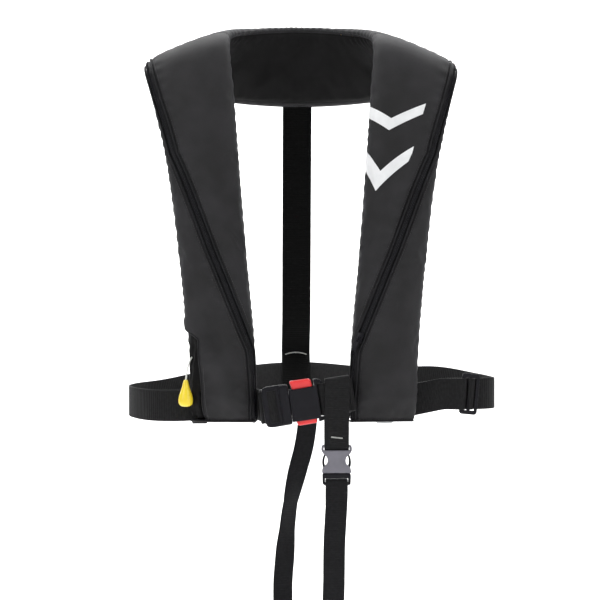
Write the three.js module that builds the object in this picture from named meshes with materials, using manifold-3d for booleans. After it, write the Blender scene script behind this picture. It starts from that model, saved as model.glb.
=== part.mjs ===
// Inflatable life jacket, horseshoe pattern, worn over the neck and closed by a waist belt.
//
// Frame: +Z up, +X to the wearer's left, +Y to the wearer's back, millimetres. The origin is the middle of the
// collar's neck edge, where the jacket hangs on the back of the wearer's neck.
//
// The yoke is one long padded section swept from one lobe's hem, over the shoulder, round the back of the neck
// and down to the other hem. Its skins are sewn panels, each a thin sheet of its own, that meet at the zip and
// at the lining's seams. The bladder, the inflator and the oral tube lie inside.

import * as THREE from "three";
import { mergeVertices } from "three/addons/utils/BufferGeometryUtils.js";
import Module from "manifold-3d";

const wasm = await Module();
wasm.setup();

// ---------------------------------------------------------------- driving dimensions

const LOBE_LENGTH = 497; // neck edge of the collar down to the lobes' hems
const PACK_THICKNESS = 36; // fullest thickness of a packed lobe
const COLLAR_THICKNESS = 25;
const HEM_THICKNESS = 14;
const COVER_WALL = 1.2; // coated cover cloth with its seam allowance
const SEAM_GAP = 0.5; // between two panels along a seam
const SECTION_POWER = 2.6; // superellipse power of the padded section
const ZIP_WIDTH = 11;
const LINING_TURN = 9; // how far the cover turns round each edge to the lining's seam

const BELT = { width: 38, thickness: 1.6 }; // waist belt and back strap webbing
const CROTCH = { width: 26, thickness: 1.5 }; // crotch strap webbing
const CROTCH_LOOP = { width: 29, thickness: 1.5 }; // sewn loop that hangs the crotch buckle from the belt
const LAYER_GAP = 0.5; // between two layers of webbing

const BELT_RISE = 19; // belt's middle above the hems, in front
const BELT_HALF_WIDTH = 238; // wearer's left extreme of the belt's loop
const BELT_RIGHT_WIDTH = 213; // wearer's right extreme
const BELT_FRONT_Y = -126; // belt run behind the lobes
const BELT_BACK_Y = 80; // belt run across the back
const BELT_BACK_RISE = 26; // how far the back strap lifts the belt
const SIDE_BEND = 30; // radius of the belt's bend at the wearer's left side

const BUCKLE = { length: 74, height: 52, thickness: 15 };
const CROTCH_BUCKLE = { thickness: 11, plugThickness: 9 };
const CYLINDER = { radius: 12.5, length: 128 };
const RUNNING_GAP = 0.4; // between pieces that slide or turn on each other

// ---------------------------------------------------------------- small helpers

const V = (x, y, z) => new THREE.Vector3(x, y, z);
const rad = THREE.MathUtils.degToRad;
const mix = THREE.MathUtils.lerp;
const smooth = THREE.MathUtils.smoothstep;
const root = new THREE.Group();
root.name = "life_jacket";

const finish = {
  cover: new THREE.MeshStandardMaterial({ color: 0x26262a, roughness: 0.78 }),
  lining: new THREE.MeshStandardMaterial({ color: 0x141416, roughness: 0.9 }),
  webbing: new THREE.MeshStandardMaterial({ color: 0x161618, roughness: 0.85 }),
  zip: new THREE.MeshStandardMaterial({ color: 0x0f1014, roughness: 0.6 }),
  blackPlastic: new THREE.MeshStandardMaterial({ color: 0x18191b, roughness: 0.45 }),
  greyPlastic: new THREE.MeshStandardMaterial({ color: 0x6d6c76, roughness: 0.45 }),
  redPlastic: new THREE.MeshStandardMaterial({ color: 0xe02a35, roughness: 0.35 }),
  yellowPlastic: new THREE.MeshStandardMaterial({ color: 0xf2d81c, roughness: 0.4 }),
  whiteCord: new THREE.MeshStandardMaterial({ color: 0xe9ebe4, roughness: 0.8 }),
  bladder: new THREE.MeshStandardMaterial({ color: 0xf0c81e, roughness: 0.5 }),
  steel: new THREE.MeshStandardMaterial({ color: 0xb4b6b9, roughness: 0.3, metalness: 0.9 }),
  rubber: new THREE.MeshStandardMaterial({ color: 0x202020, roughness: 0.9 }),
};

function add(name, geometry, material, parent = root) {
  const mesh = new THREE.Mesh(geometry, material);
  mesh.name = name;
  parent.add(mesh);
  return mesh;
}

function geometryOf(positions, triangles) {
  const geometry = new THREE.BufferGeometry();
  geometry.setAttribute("position", new THREE.Float32BufferAttribute(positions, 3));
  geometry.setIndex(triangles);
  return geometry;
}

// Turns the faces outwards: a closed mesh whose signed volume is negative is inside out.
function outwards(geometry) {
  const p = geometry.attributes.position;
  const index = geometry.index.array;
  const at = (i) => V(p.getX(i), p.getY(i), p.getZ(i));
  let volume = 0;
  for (let i = 0; i < index.length; i += 3) {
    volume += at(index[i]).dot(at(index[i + 1]).cross(at(index[i + 2])));
  }
  if (volume < 0) {
    for (let i = 0; i < index.length; i += 3) {
      [index[i + 1], index[i + 2]] = [index[i + 2], index[i + 1]];
    }
  }
  return geometry;
}

// A sheet with a wall. point(u, v, depth) gives a point of the skin, sunk by depth, for u and v from 0 to 1.
function sheet(rows, columns, point, wall = COVER_WALL) {
  const positions = [];
  const triangles = [];
  const index = (i, j, layer) => (layer * (rows + 1) + i) * (columns + 1) + j;
  const quad = (a, b, c, d) => triangles.push(a, b, c, a, c, d);
  for (const layer of [0, 1]) {
    for (let i = 0; i <= rows; i++) {
      for (let j = 0; j <= columns; j++) {
        positions.push(...point(i / rows, j / columns, layer * wall).toArray());
      }
    }
  }
  for (let i = 0; i < rows; i++) {
    for (let j = 0; j < columns; j++) {
      quad(index(i, j, 0), index(i, j + 1, 0), index(i + 1, j + 1, 0), index(i + 1, j, 0));
      quad(index(i, j, 1), index(i + 1, j, 1), index(i + 1, j + 1, 1), index(i, j + 1, 1));
    }
  }
  for (let i = 0; i < rows; i++) {
    quad(index(i, 0, 0), index(i + 1, 0, 0), index(i + 1, 0, 1), index(i, 0, 1));
    quad(index(i, columns, 0), index(i, columns, 1), index(i + 1, columns, 1), index(i + 1, columns, 0));
  }
  for (let j = 0; j < columns; j++) {
    quad(index(0, j, 0), index(0, j, 1), index(0, j + 1, 1), index(0, j + 1, 0));
    quad(index(rows, j, 0), index(rows, j + 1, 0), index(rows, j + 1, 1), index(rows, j, 1));
  }
  return outwards(geometryOf(positions, triangles));
}

// A solid through a row of rings that have the same number of points, capped at both ends or closed on itself.
function loft(rings, closed = false) {
  const count = rings[0].length;
  const positions = rings.flat().flatMap((p) => p.toArray());
  const triangles = [];
  const spans = closed ? rings.length : rings.length - 1;
  for (let i = 0; i < spans; i++) {
    const here = i * count;
    const next = ((i + 1) % rings.length) * count;
    for (let j = 0; j < count; j++) {
      const k = (j + 1) % count;
      triangles.push(here + j, here + k, next + k, here + j, next + k, next + j);
    }
  }
  if (!closed) {
    const last = (rings.length - 1) * count;
    for (let j = 1; j < count - 1; j++) {
      triangles.push(0, j + 1, j, last, last + j, last + j + 1);
    }
  }
  return outwards(geometryOf(positions, triangles));
}

// Flat webbing along a path. Each stop of the path is { at, across }, and across is the webbing's width direction.
function webbing(path, size, closed = false) {
  const n = path.length;
  const rings = path.map(({ at, across }, i) => {
    const before = path[closed ? (i + n - 1) % n : Math.max(i - 1, 0)].at;
    const after = path[closed ? (i + 1) % n : Math.min(i + 1, n - 1)].at;
    const along = after.clone().sub(before).normalize();
    const wide = across.clone().addScaledVector(along, -across.dot(along)).normalize();
    const thick = along.cross(wide).multiplyScalar(size.thickness / 2);
    wide.multiplyScalar(size.width / 2);
    return [
      at.clone().add(wide).add(thick),
      at.clone().sub(wide).add(thick),
      at.clone().sub(wide).sub(thick),
      at.clone().add(wide).sub(thick),
    ];
  });
  return loft(rings, closed);
}

// manifold-3d joins and cuts. It wants merged vertices with a position alone.
function solid(geometry) {
  const bare = geometry.clone();
  bare.deleteAttribute("normal");
  bare.deleteAttribute("uv");
  const merged = mergeVertices(bare, 1e-4);
  return new wasm.Manifold(
    new wasm.Mesh({
      numProp: 3,
      vertProperties: merged.attributes.position.array,
      triVerts: new Uint32Array(merged.index.array),
    }),
  );
}

function unsolid(body) {
  const { vertProperties, triVerts } = body.getMesh();
  return geometryOf(Array.from(vertProperties), Array.from(triVerts));
}

const joined = (...parts) => unsolid(parts.map(solid).reduce((a, b) => a.add(b)));
const cut = (body, ...tools) => unsolid(tools.map(solid).reduce((a, b) => a.subtract(b), solid(body)));
const box = (w, d, h, x = 0, y = 0, z = 0) => new THREE.BoxGeometry(w, d, h).translate(x, y, z);
const rodX = (r, length, sides = 12) => new THREE.CylinderGeometry(r, r, length, sides).rotateZ(Math.PI / 2);
const rodY = (r, length, sides = 12) => new THREE.CylinderGeometry(r, r, length, sides);
const rodZ = (r, length, sides = 16) => new THREE.CylinderGeometry(r, r, length, sides).rotateX(Math.PI / 2);

// A plate cut to an outline in X and Z, with its middle plane at y = 0.
function plate(shape, thickness, curveSegments = 3) {
  return new THREE.ExtrudeGeometry(shape, { depth: thickness, bevelEnabled: false, curveSegments })
    .rotateX(Math.PI / 2)
    .translate(0, thickness / 2, 0);
}

// An outline through corners [x, z, radius], each rounded by an arc-like curve.
function outline(corners) {
  const shape = new THREE.Shape();
  const n = corners.length;
  corners.forEach(([x, z, r], i) => {
    const corner = new THREE.Vector2(x, z);
    const from = new THREE.Vector2(...corners[(i + n - 1) % n].slice(0, 2)).sub(corner).setLength(r);
    const to = new THREE.Vector2(...corners[(i + 1) % n].slice(0, 2)).sub(corner).setLength(r);
    const start = corner.clone().add(from);
    const end = corner.clone().add(to);
    if (i === 0) shape.moveTo(start.x, start.y);
    else shape.lineTo(start.x, start.y);
    shape.quadraticCurveTo(x, z, end.x, end.y);
  });
  shape.closePath();
  return shape;
}

const roundedBlock = (w, d, h, r) =>
  plate(outline([[-w / 2, -h / 2, r], [w / 2, -h / 2, r], [w / 2, h / 2, r], [-w / 2, h / 2, r]]), d);

// ---------------------------------------------------------------- the yoke's padded section

// Stations of the wearer's left half, from the hem to the middle of the collar. Each gives the section's
// neck-side edge, its outer edge, its thickness, and how far round the outward face the zip runs, as a share
// of the way from the outer edge to the neck-side edge.
const drop = (share) => -LOBE_LENGTH * share;
const STATIONS = [
  { inner: [55, -147, drop(1)], outer: [134, -145, drop(1)], thick: HEM_THICKNESS, zip: 0.95 },
  { inner: [56.5, -148, drop(0.945)], outer: [137, -146, drop(0.945)], thick: 30, zip: 0.94 },
  { inner: [57.5, -149, drop(0.83)], outer: [139, -147, drop(0.83)], thick: PACK_THICKNESS - 1, zip: 0.885 },
  { inner: [67.5, -148, drop(0.594)], outer: [149.5, -145, drop(0.594)], thick: PACK_THICKNESS, zip: 0.5 },
  { inner: [77, -141, drop(0.358)], outer: [165.5, -136, drop(0.358)], thick: PACK_THICKNESS - 3, zip: 0.17 },
  { inner: [82.5, -129, drop(0.21)], outer: [181, -120, drop(0.225)], thick: 29, zip: 0.1 },
  { inner: [88, -106, -38], outer: [191, -98, -71], thick: COLLAR_THICKNESS, zip: 0.07 },
  { inner: [84, -62, -18], outer: [182, -50, -68], thick: COLLAR_THICKNESS, zip: 0.06 },
  { inner: [58, -20, -6], outer: [130, 12, -88], thick: COLLAR_THICKNESS, zip: 0.06 },
  { inner: [0, 0, 0], outer: [0, 34, -98], thick: COLLAR_THICKNESS, zip: 0.06 },
];
const MIDDLE = STATIONS.length - 1; // the collar's middle
const SHOULDER = 6.5; // where the lobe's panels are sewn to the collar's

function edgeCurve(key) {
  const half = STATIONS.map((s) => V(...s[key]));
  const mirrored = half.slice(0, -1).reverse().map((p) => V(-p.x, p.y, p.z));
  return new THREE.CatmullRomCurve3([...half, ...mirrored], false, "centripetal");
}
const innerEdge = edgeCurve("inner");
const outerEdge = edgeCurve("outer");
const onEdge = (curve, k) => curve.getPoint(THREE.MathUtils.clamp(k / (2 * MIDDLE), 0, 1));

// A station value between stations. Past the middle it reads the mirrored station.
function between(key, k) {
  const at = k > MIDDLE ? 2 * MIDDLE - k : k;
  const low = Math.min(Math.floor(at), MIDDLE - 1);
  return mix(STATIONS[low][key], STATIONS[low + 1][key], at - low);
}

const middleOf = (k) => onEdge(innerEdge, k).add(onEdge(outerEdge, k)).multiplyScalar(0.5);

function frameAt(k) {
  const inner = onEdge(innerEdge, k);
  const across = onEdge(outerEdge, k).sub(inner);
  const along = middleOf(k + 0.02).sub(middleOf(k - 0.02)).normalize();
  const half = across.length() / 2;
  across.normalize();
  const out = across.clone().cross(along).normalize();
  return { middle: middleOf(k), across, out, half, deep: between("thick", k) / 2 };
}

const power = (x) => Math.sign(x) * Math.abs(x) ** (2 / SECTION_POWER);

// Distance round the section for each of its angles, from the outer edge over the outward face.
const ARC_STEPS = 96;
function arcTable({ half, deep }) {
  const table = [0];
  for (let i = 1; i <= ARC_STEPS; i++) {
    const [a, b] = [(i - 1) / ARC_STEPS, i / ARC_STEPS].map((t) => 2 * Math.PI * t);
    const across = half * (power(Math.cos(b)) - power(Math.cos(a)));
    const out = deep * (power(Math.sin(b)) - power(Math.sin(a)));
    table.push(table[i - 1] + Math.hypot(across, out));
  }
  return table;
}

const sections = new Map();
function sectionAt(k) {
  const key = k.toFixed(4);
  if (!sections.has(key)) {
    const frame = frameAt(k);
    const table = arcTable(frame);
    sections.set(key, { ...frame, table, girth: table[ARC_STEPS] });
  }
  return sections.get(key);
}

// The point of the skin at a distance round the section, sunk by depth.
function skin(k, distance, depth = 0) {
  const { middle, across, out, half, deep, table, girth } = sectionAt(k);
  const d = ((distance % girth) + girth) % girth;
  let i = 1;
  while (table[i] < d) i++;
  const angle = (2 * Math.PI * (i - 1 + (d - table[i - 1]) / (table[i] - table[i - 1]))) / ARC_STEPS;
  return middle
    .clone()
    .addScaledVector(across, (half - depth) * power(Math.cos(angle)))
    .addScaledVector(out, (deep - depth) * power(Math.sin(angle)));
}

const neckSide = (k) => sectionAt(k).girth / 2;
const zipLine = (k) => between("zip", k) * neckSide(k);
const mirror = (side) => (p) => (side < 0 ? V(-p.x, p.y, p.z) : p);

// A panel of the cover, from station k0 to k1, between two lines that each give a distance round the section.
function panel({ from, to, start, end, side = 1, rows, columns, depth = 0, wall = COVER_WALL }) {
  const flip = mirror(side);
  return sheet(
    rows,
    columns,
    (u, v, sunk) => {
      const k = mix(from, to, u);
      return flip(skin(k, mix(start(k), end(k), v), depth + sunk));
    },
    wall,
  );
}

// ---------------------------------------------------------------- cover, lining and zips

const HEM = 0.05; // first station of the panels, just above the hem strip
const HALF_ZIP = ZIP_WIDTH / 2;
const POCKET = { from: 2.12, to: 2.32, turn: 24 }; // pocket mouth at the wearer's right edge, for the pull cord
const SHOULDER_GAP = 0.02; // stations between a lobe's panels and the collar's
const LOBE_ROWS = 16;
const SECTION_POINTS = 16; // round a hem or the bladder
const HEM_CAP = { inset: 1, drop: 2 }; // the hem strip's closed end

for (const [word, side] of [["left", 1], ["right", -1]]) {
  const lobe = { from: HEM, to: SHOULDER, side, rows: LOBE_ROWS };
  const outerStart = (k) =>
    side > 0 ? -LINING_TURN : mix(POCKET.turn, -LINING_TURN, smooth(k, POCKET.from, POCKET.to));
  add(
    `cover_inboard_${word}`,
    panel({ ...lobe, columns: 8, start: (k) => zipLine(k) + HALF_ZIP + SEAM_GAP, end: (k) => neckSide(k) + LINING_TURN }),
    finish.cover,
  );
  add(
    `cover_outboard_${word}`,
    panel({ ...lobe, columns: 6, start: outerStart, end: (k) => zipLine(k) - HALF_ZIP - SEAM_GAP }),
    finish.cover,
  );
  add(
    `lining_${word}`,
    panel({
      ...lobe,
      columns: 5,
      start: (k) => neckSide(k) + LINING_TURN + SEAM_GAP,
      end: (k) => 2 * neckSide(k) - LINING_TURN - SEAM_GAP,
    }),
    finish.lining,
  );
  add(
    `zip_${word}`,
    panel({ ...lobe, columns: 2, start: (k) => zipLine(k) - HALF_ZIP, end: (k) => zipLine(k) + HALF_ZIP, depth: 0.3 }),
    finish.zip,
  );

  // The hem strip closes the lobe's end.
  const hemRing = (k, sunk) => {
    const ring = Array.from({ length: SECTION_POINTS }, (_, i) => skin(k, (sectionAt(k).girth * i) / SECTION_POINTS, sunk));
    return ring.map(mirror(side));
  };
  const low = hemRing(0, HEM_CAP.inset).map((p) => p.add(V(0, 0, -HEM_CAP.drop)));
  add(`hem_${word}`, loft([low, hemRing(0, 0), hemRing(HEM - 0.012, 0)]), finish.cover);
}

const collar = { from: SHOULDER + SHOULDER_GAP, to: 2 * MIDDLE - SHOULDER - SHOULDER_GAP, rows: 20 };
add(
  "collar_outer",
  panel({ ...collar, columns: 11, start: (k) => zipLine(k) + HALF_ZIP + SEAM_GAP, end: (k) => neckSide(k) + LINING_TURN }),
  finish.cover,
);
add(
  "collar_lining",
  panel({
    ...collar,
    columns: 6,
    start: (k) => neckSide(k) + LINING_TURN + SEAM_GAP,
    end: (k) => 2 * neckSide(k) - LINING_TURN - SEAM_GAP,
  }),
  finish.lining,
);
add(
  "collar_gusset",
  panel({ ...collar, columns: 1, start: () => -LINING_TURN, end: (k) => zipLine(k) - HALF_ZIP - SEAM_GAP }),
  finish.cover,
);
add(
  "zip_collar",
  panel({ ...collar, columns: 2, start: (k) => zipLine(k) - HALF_ZIP, end: (k) => zipLine(k) + HALF_ZIP, depth: 0.3 }),
  finish.zip,
);

// The pocket's gusset lies behind its mouth, below the hole where the pull cord comes out.
add(
  "pocket_gusset",
  panel({ from: 0.2, to: 1.3, side: -1, rows: 4, columns: 3, start: () => -13, end: () => 19, depth: 4.5 }),
  finish.lining,
);

// ---------------------------------------------------------------- inflator, in the wearer's right lobe

const PACK_Y = -148; // middle plane of the lobes' lower half
const inflator = { x: -99, z: drop(1) + 60, width: 34, depth: 18, height: 38 };
const inflatorTop = inflator.z + inflator.height / 2;
const inflatorBase = inflator.z - inflator.height / 2;
const NECK = { radius: 6.2, length: 7 }; // cylinder's screwed neck
const PIN = { radius: 1.6, length: 15 };
const SPRING = { radius: 2.6, wire: 0.45, length: 12.6, turns: 5 };
const chamber = SPRING.radius + SPRING.wire + RUNNING_GAP;

const inflatorGroup = new THREE.Group();
inflatorGroup.position.set(inflator.x, PACK_Y, inflator.z);
root.add(inflatorGroup);
const half = inflator.height / 2;
const STEM = { radius: 4, nut: 7, nutThickness: 3 };
const stemZ = -11; // the manifold's stem crosses the body below the pin's chamber
const chamberDepth = NECK.length + PIN.length + 1.5;
const LEVER = { arm: 22, heel: 3.5, width: 8, thickness: 6, pivot: 1.2, standoff: 5.2, z: -2 };
const leverX = -inflator.width / 2 - LEVER.standoff; // far enough out for the heel to swing past the body
const ear = (y) => box(14, 2, 8, leverX + 2.4, y, LEVER.z);
const earY = LEVER.width / 2 + 1 + RUNNING_GAP;
add(
  "inflator_body",
  cut(
    joined(roundedBlock(inflator.width, inflator.depth, inflator.height, 6), ear(earY), ear(-earY)),
    rodZ(NECK.radius + RUNNING_GAP, 2 * NECK.length + 1).translate(0, 0, half),
    rodZ(chamber, 2 * chamberDepth).translate(0, 0, half),
    rodY(STEM.radius + RUNNING_GAP, inflator.depth + 2).translate(0, 0, stemZ),
    rodY(LEVER.pivot + RUNNING_GAP, 3 * inflator.depth).translate(leverX, 0, LEVER.z),
  ),
  finish.blackPlastic,
  inflatorGroup,
);
add("lever_pivot_pin", rodY(LEVER.pivot, 2 * earY + 2).translate(leverX, 0, LEVER.z), finish.steel, inflatorGroup);
const eyeZ = LEVER.z + LEVER.arm;
add(
  "firing_lever",
  cut(
    box(LEVER.thickness, LEVER.width, LEVER.arm + LEVER.heel + 3, leverX, 0, LEVER.z + (LEVER.arm + 3 - LEVER.heel) / 2),
    rodY(LEVER.pivot + RUNNING_GAP, 30).translate(leverX, 0, LEVER.z),
    rodX(1.6, 10).translate(leverX, 0, eyeZ),
  ),
  finish.redPlastic,
  inflatorGroup,
);
const pinTop = half - NECK.length - 0.8;
add(
  "piercing_pin",
  new THREE.LatheGeometry(
    [[0, 0], [PIN.radius * 1.4, 0], [PIN.radius * 1.4, 2], [PIN.radius, 2], [PIN.radius, PIN.length - 4], [0, PIN.length - 0.5]]
      .map(([r, z]) => new THREE.Vector2(r, z)),
    10,
  )
    .rotateX(Math.PI / 2)
    .translate(0, 0, pinTop - PIN.length),
  finish.steel,
  inflatorGroup,
);
class Helix extends THREE.Curve {
  getPoint(t, target = new THREE.Vector3()) {
    const angle = 2 * Math.PI * SPRING.turns * t;
    return target.set(SPRING.radius * Math.cos(angle), SPRING.radius * Math.sin(angle), SPRING.length * t);
  }
}
const wire = new THREE.Shape().absarc(0, 0, SPRING.wire, 0, 2 * Math.PI);
add(
  "return_spring",
  new THREE.ExtrudeGeometry(wire, { extrudePath: new Helix(), steps: 40, curveSegments: 2, bevelEnabled: false })
    .translate(0, 0, pinTop - PIN.length + 2 + SPRING.wire + RUNNING_GAP),
  finish.steel,
  inflatorGroup,
);
const cylinderBase = half + RUNNING_GAP;
const R = CYLINDER.radius;
add(
  "gas_cylinder",
  new THREE.LatheGeometry(
    [
      [0, 1], [2.4, 1], [2.4, -NECK.length + 0.6], [NECK.radius, -NECK.length + 0.6], [NECK.radius, 2], [R * 0.62, 5], [R * 0.92, 11],
      [R, 17], [R, CYLINDER.length - 10], [R * 0.86, CYLINDER.length - 4], [R * 0.5, CYLINDER.length - 0.6],
      [0, CYLINDER.length],
    ].map(([r, z]) => new THREE.Vector2(r, z)),
    18,
  )
    .rotateX(Math.PI / 2)
    .translate(0, 0, cylinderBase),
  finish.steel,
  inflatorGroup,
);
const CAP = { radius: 7.5, length: 14 };
add(
  "sensor_cap",
  rodZ(CAP.radius, CAP.length, 16).translate(0, 0, -half - CAP.length / 2 - RUNNING_GAP),
  finish.yellowPlastic,
  inflatorGroup,
);
const faceY = inflator.depth / 2 + RUNNING_GAP;
add(
  "manifold_nut",
  new THREE.CylinderGeometry(STEM.nut, STEM.nut, STEM.nutThickness, 6)
    .translate(0, -faceY - STEM.nutThickness / 2, stemZ),
  finish.blackPlastic,
  inflatorGroup,
);
add(
  "manifold_stem",
  rodY(STEM.radius, inflator.depth).translate(0, 0, stemZ),
  finish.steel,
  inflatorGroup,
);
add(
  "manifold_gasket",
  cut(rodY(8, 1.5, 16), rodY(4.4, 3, 12)).translate(0, faceY + 0.75, stemZ),
  finish.rubber,
  inflatorGroup,
);

// ---------------------------------------------------------------- oral tube and whistle, in the wearer's left lobe

const TUBE = { radius: 6.5, bore: 4.6, length: 46 };
const oral = new THREE.Group();
oral.position.set(104, PACK_Y, drop(1) + 96);
root.add(oral);
add("oral_tube", cut(rodZ(TUBE.radius, TUBE.length, 18), rodZ(TUBE.bore, 50, 14).translate(0, 0, -5)), finish.blackPlastic, oral);
const tubeEnd = -TUBE.length / 2;
add("oral_valve", rodZ(TUBE.bore - RUNNING_GAP, 5, 12).translate(0, 0, tubeEnd + 5.5), finish.greyPlastic, oral);
const DUST_CAP = { wall: 1.4, reach: 10, end: 2 };
const capBore = TUBE.radius + RUNNING_GAP;
add(
  "dust_cap",
  cut(
    rodZ(capBore + DUST_CAP.wall, DUST_CAP.reach + DUST_CAP.end, 18),
    rodZ(capBore, DUST_CAP.reach, 18).translate(0, 0, DUST_CAP.end / 2 + 0.01),
  ).translate(0, 0, tubeEnd - RUNNING_GAP - DUST_CAP.end + (DUST_CAP.reach + DUST_CAP.end) / 2),
  finish.yellowPlastic,
  oral,
);
const WHISTLE = { x: 76, z: 78, depth: 9 };
const whistle = new THREE.Group();
whistle.position.set(WHISTLE.x, PACK_Y, drop(1) + WHISTLE.z);
root.add(whistle);
add(
  "whistle",
  cut(
    joined(
      plate(outline([[-8, -20, 3], [8, -20, 3], [8, -6, 2], [4, 14, 1], [-4, 14, 1], [-8, -2, 2]]), WHISTLE.depth),
      rodY(4, 4, 12).translate(0, 0, 16),
    ),
    rodY(1.8, 20).translate(0, 0, 17),
    box(9, 5, 4, 4, 0, -3),
  ),
  finish.yellowPlastic,
  whistle,
);

// ---------------------------------------------------------------- bladder, folded inside the yoke

const BLADDER = { depth: COVER_WALL + 3.4, from: 2.6, step: 0.32 }; // depth below the skin, first station and step
const bladderRing = (k, side) => {
  const ring = Array.from({ length: SECTION_POINTS }, (_, i) => skin(k, (sectionAt(k).girth * i) / SECTION_POINTS, BLADDER.depth));
  return ring.map(mirror(side));
};
const folded = [];
for (let k = BLADDER.from; k < 2 * MIDDLE - BLADDER.from + 0.01; k += BLADDER.step) folded.push(bladderRing(k, 1));
const cylinderRoom = rodZ(CYLINDER.radius + 1, CYLINDER.length + 20, 16)
  .translate(inflator.x, PACK_Y, inflatorTop + CYLINDER.length / 2 - 8);
add("bladder", cut(loft(folded), cylinderRoom), finish.bladder);

// ---------------------------------------------------------------- waist belt

const beltZ = drop(1) + BELT_RISE; // belt's middle height in front
const backZ = beltZ + BELT_BACK_RISE;
const ringX = 100; // wire ring behind the left lobe, where the belt's two ends meet
const ringY = BELT_FRONT_Y + 0.6;
const UP = V(0, 0, 1);
const LEAN_ANGLE = rad(28);
const LEAN = V(0, Math.sin(LEAN_ANGLE), Math.cos(LEAN_ANGLE)); // the belt's width direction at the back
const bend = { x: BELT_HALF_WIDTH - SIDE_BEND, y: BELT_FRONT_Y + SIDE_BEND, z: beltZ + 12 };

// The belt's line from the wearer's left lobe, round the left side, the back and the right side to the right lobe.
function beltLine() {
  const path = [];
  const stop = (x, y, z, lean = 0) =>
    path.push({ at: V(x, y, z), across: UP.clone().lerp(LEAN, lean) });
  stop(112.5, ringY - 4.2, beltZ + 2);
  stop(107, ringY - 3.8, beltZ + 2);
  stop(104.6, ringY - 2, beltZ + 2);
  stop(104.6, ringY + 1.6, beltZ + 2);
  stop(107, ringY + 3.4, beltZ + 2);
  stop(114, ringY + 3.2, beltZ + 2.4);
  stop(mix(ringX, bend.x, 0.278), BELT_FRONT_Y + 1, beltZ + 4);
  stop(mix(ringX, bend.x, 0.463), BELT_FRONT_Y, beltZ + 8);
  stop(mix(ringX, bend.x, 0.694), BELT_FRONT_Y, bend.z);
  for (let a = 0; a <= 95; a += 9.5) {
    stop(bend.x + SIDE_BEND * Math.sin(rad(a)), bend.y - SIDE_BEND * Math.cos(rad(a)), bend.z);
  }
  const back = new THREE.CatmullRomCurve3([
    V(path.at(-1).at.x, path.at(-1).at.y, bend.z),
    V(BELT_HALF_WIDTH - 14, -20, bend.z + 2),
    V(BELT_HALF_WIDTH - 60, 42, bend.z + 8),
    V(110, 72, mix(beltZ, backZ, 0.7)),
    V(0, BELT_BACK_Y, backZ),
    V(-106, 70, mix(beltZ, backZ, 0.6)),
    V(-BELT_RIGHT_WIDTH + 42, 34, mix(beltZ, backZ, 0.15)),
    V(-BELT_RIGHT_WIDTH + 4, -18, beltZ + 1),
    V(-BELT_RIGHT_WIDTH + 1, -62, beltZ),
    V(-BELT_RIGHT_WIDTH + 28, -108, beltZ - 2),
    V(-BELT_RIGHT_WIDTH + 66, BELT_FRONT_Y, beltZ - 1.5),
    V(-98, BELT_FRONT_Y, beltZ + 1.5),
  ], false, "centripetal");
  const steps = 44;
  for (let i = 1; i <= steps; i++) {
    const p = back.getPoint(i / steps);
    stop(p.x, p.y, p.z, smooth(p.y, 0, BELT_BACK_Y));
  }
  return path;
}
add("waist_belt", webbing(beltLine(), BELT), finish.webbing);

// ---------------------------------------------------------------- main buckle, between the lobes

const TILT = rad(8.5);
const buckle = new THREE.Group();
buckle.position.set(-11.5, PACK_Y - 30, drop(1) + 23);
buckle.rotation.y = -TILT;
root.add(buckle);
buckle.updateMatrixWorld(true);
const inBuckle = (x, y, z) => V(x, y, z).applyMatrix4(buckle.matrixWorld);
const buckleUp = V(-Math.sin(TILT), 0, Math.cos(TILT));
const end = BUCKLE.length / 2;
const hangX = buckle.position.x + end + 13; // middle of the loop that hangs the crotch buckle
const mouth = -5; // the socket's open end
const notch = 31; // length of the socket's cut-outs for the release buttons
const slot = BELT.width + 2;
const tongue = { length: 29, height: 22, thickness: 7 };
const button = { length: 27, height: 11, thickness: 10, travel: 2.5, proud: 1.2 };
const buttonFoot = BUCKLE.height / 2 + button.proud - button.height; // its inner edge above the buckle's axis
const barThickness = 6; // socket's end bar and the plug's ladder

const housing = plate(
  outline([
    [mouth, -BUCKLE.height / 2 + 2, 4], [22, -BUCKLE.height / 2, 8], [end, -slot / 2 - 4, 7],
    [end, slot / 2 + 4, 7], [22, BUCKLE.height / 2, 8], [mouth, BUCKLE.height / 2 - 2, 4],
  ]),
  BUCKLE.thickness,
);
const notchAt = (side) =>
  box(notch + 10, 30, 20, mouth - 5 + notch / 2, 0, side * (buttonFoot - button.travel - 0.3 + 10));
const thinned = (side) => box(20, 10, 80, end - 9 + 10, side * (barThickness / 2 + 5), 0);
add(
  "main_socket",
  cut(
    housing,
    thinned(1),
    thinned(-1),
    box(4.6, 30, slot, end - 6.3),
    box(2 * (tongue.length + 1), tongue.thickness + 2 * RUNNING_GAP, tongue.height + 2 * RUNNING_GAP, mouth),
    notchAt(1),
    notchAt(-1),
  ),
  finish.blackPlastic,
  buckle,
);
const plugEnd = mouth - RUNNING_GAP;
const ladder = plate(
  outline([
    [-end, -BUCKLE.height / 2 + 5, 5], [plugEnd, -BUCKLE.height / 2 + 2, 3],
    [plugEnd, BUCKLE.height / 2 - 2, 3], [-end, BUCKLE.height / 2 - 5, 5],
  ]),
  barThickness,
);
const shoulder = box(11, 12, BUCKLE.height - 6, plugEnd - 5.5);
const rungs = [-end + 7.2, -end + 16.2]; // middles of the two openings beside the ladder's middle bar
add(
  "main_plug",
  cut(
    joined(ladder, shoulder, box(tongue.length + 6, tongue.thickness, tongue.height, plugEnd + (tongue.length - 6) / 2 - 0.5)),
    ...rungs.map((x) => box(5, 20, slot, x)),
  ),
  finish.blackPlastic,
  buckle,
);
for (const [word, side] of [["upper", 1], ["lower", -1]]) {
  add(
    `release_button_${word}`,
    roundedBlock(button.length, button.thickness, button.height, 3)
      .translate(mouth + 2 + button.length / 2, 0, side * (buttonFoot + button.height / 2)),
    finish.redPlastic,
    buckle,
  );
}

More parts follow.
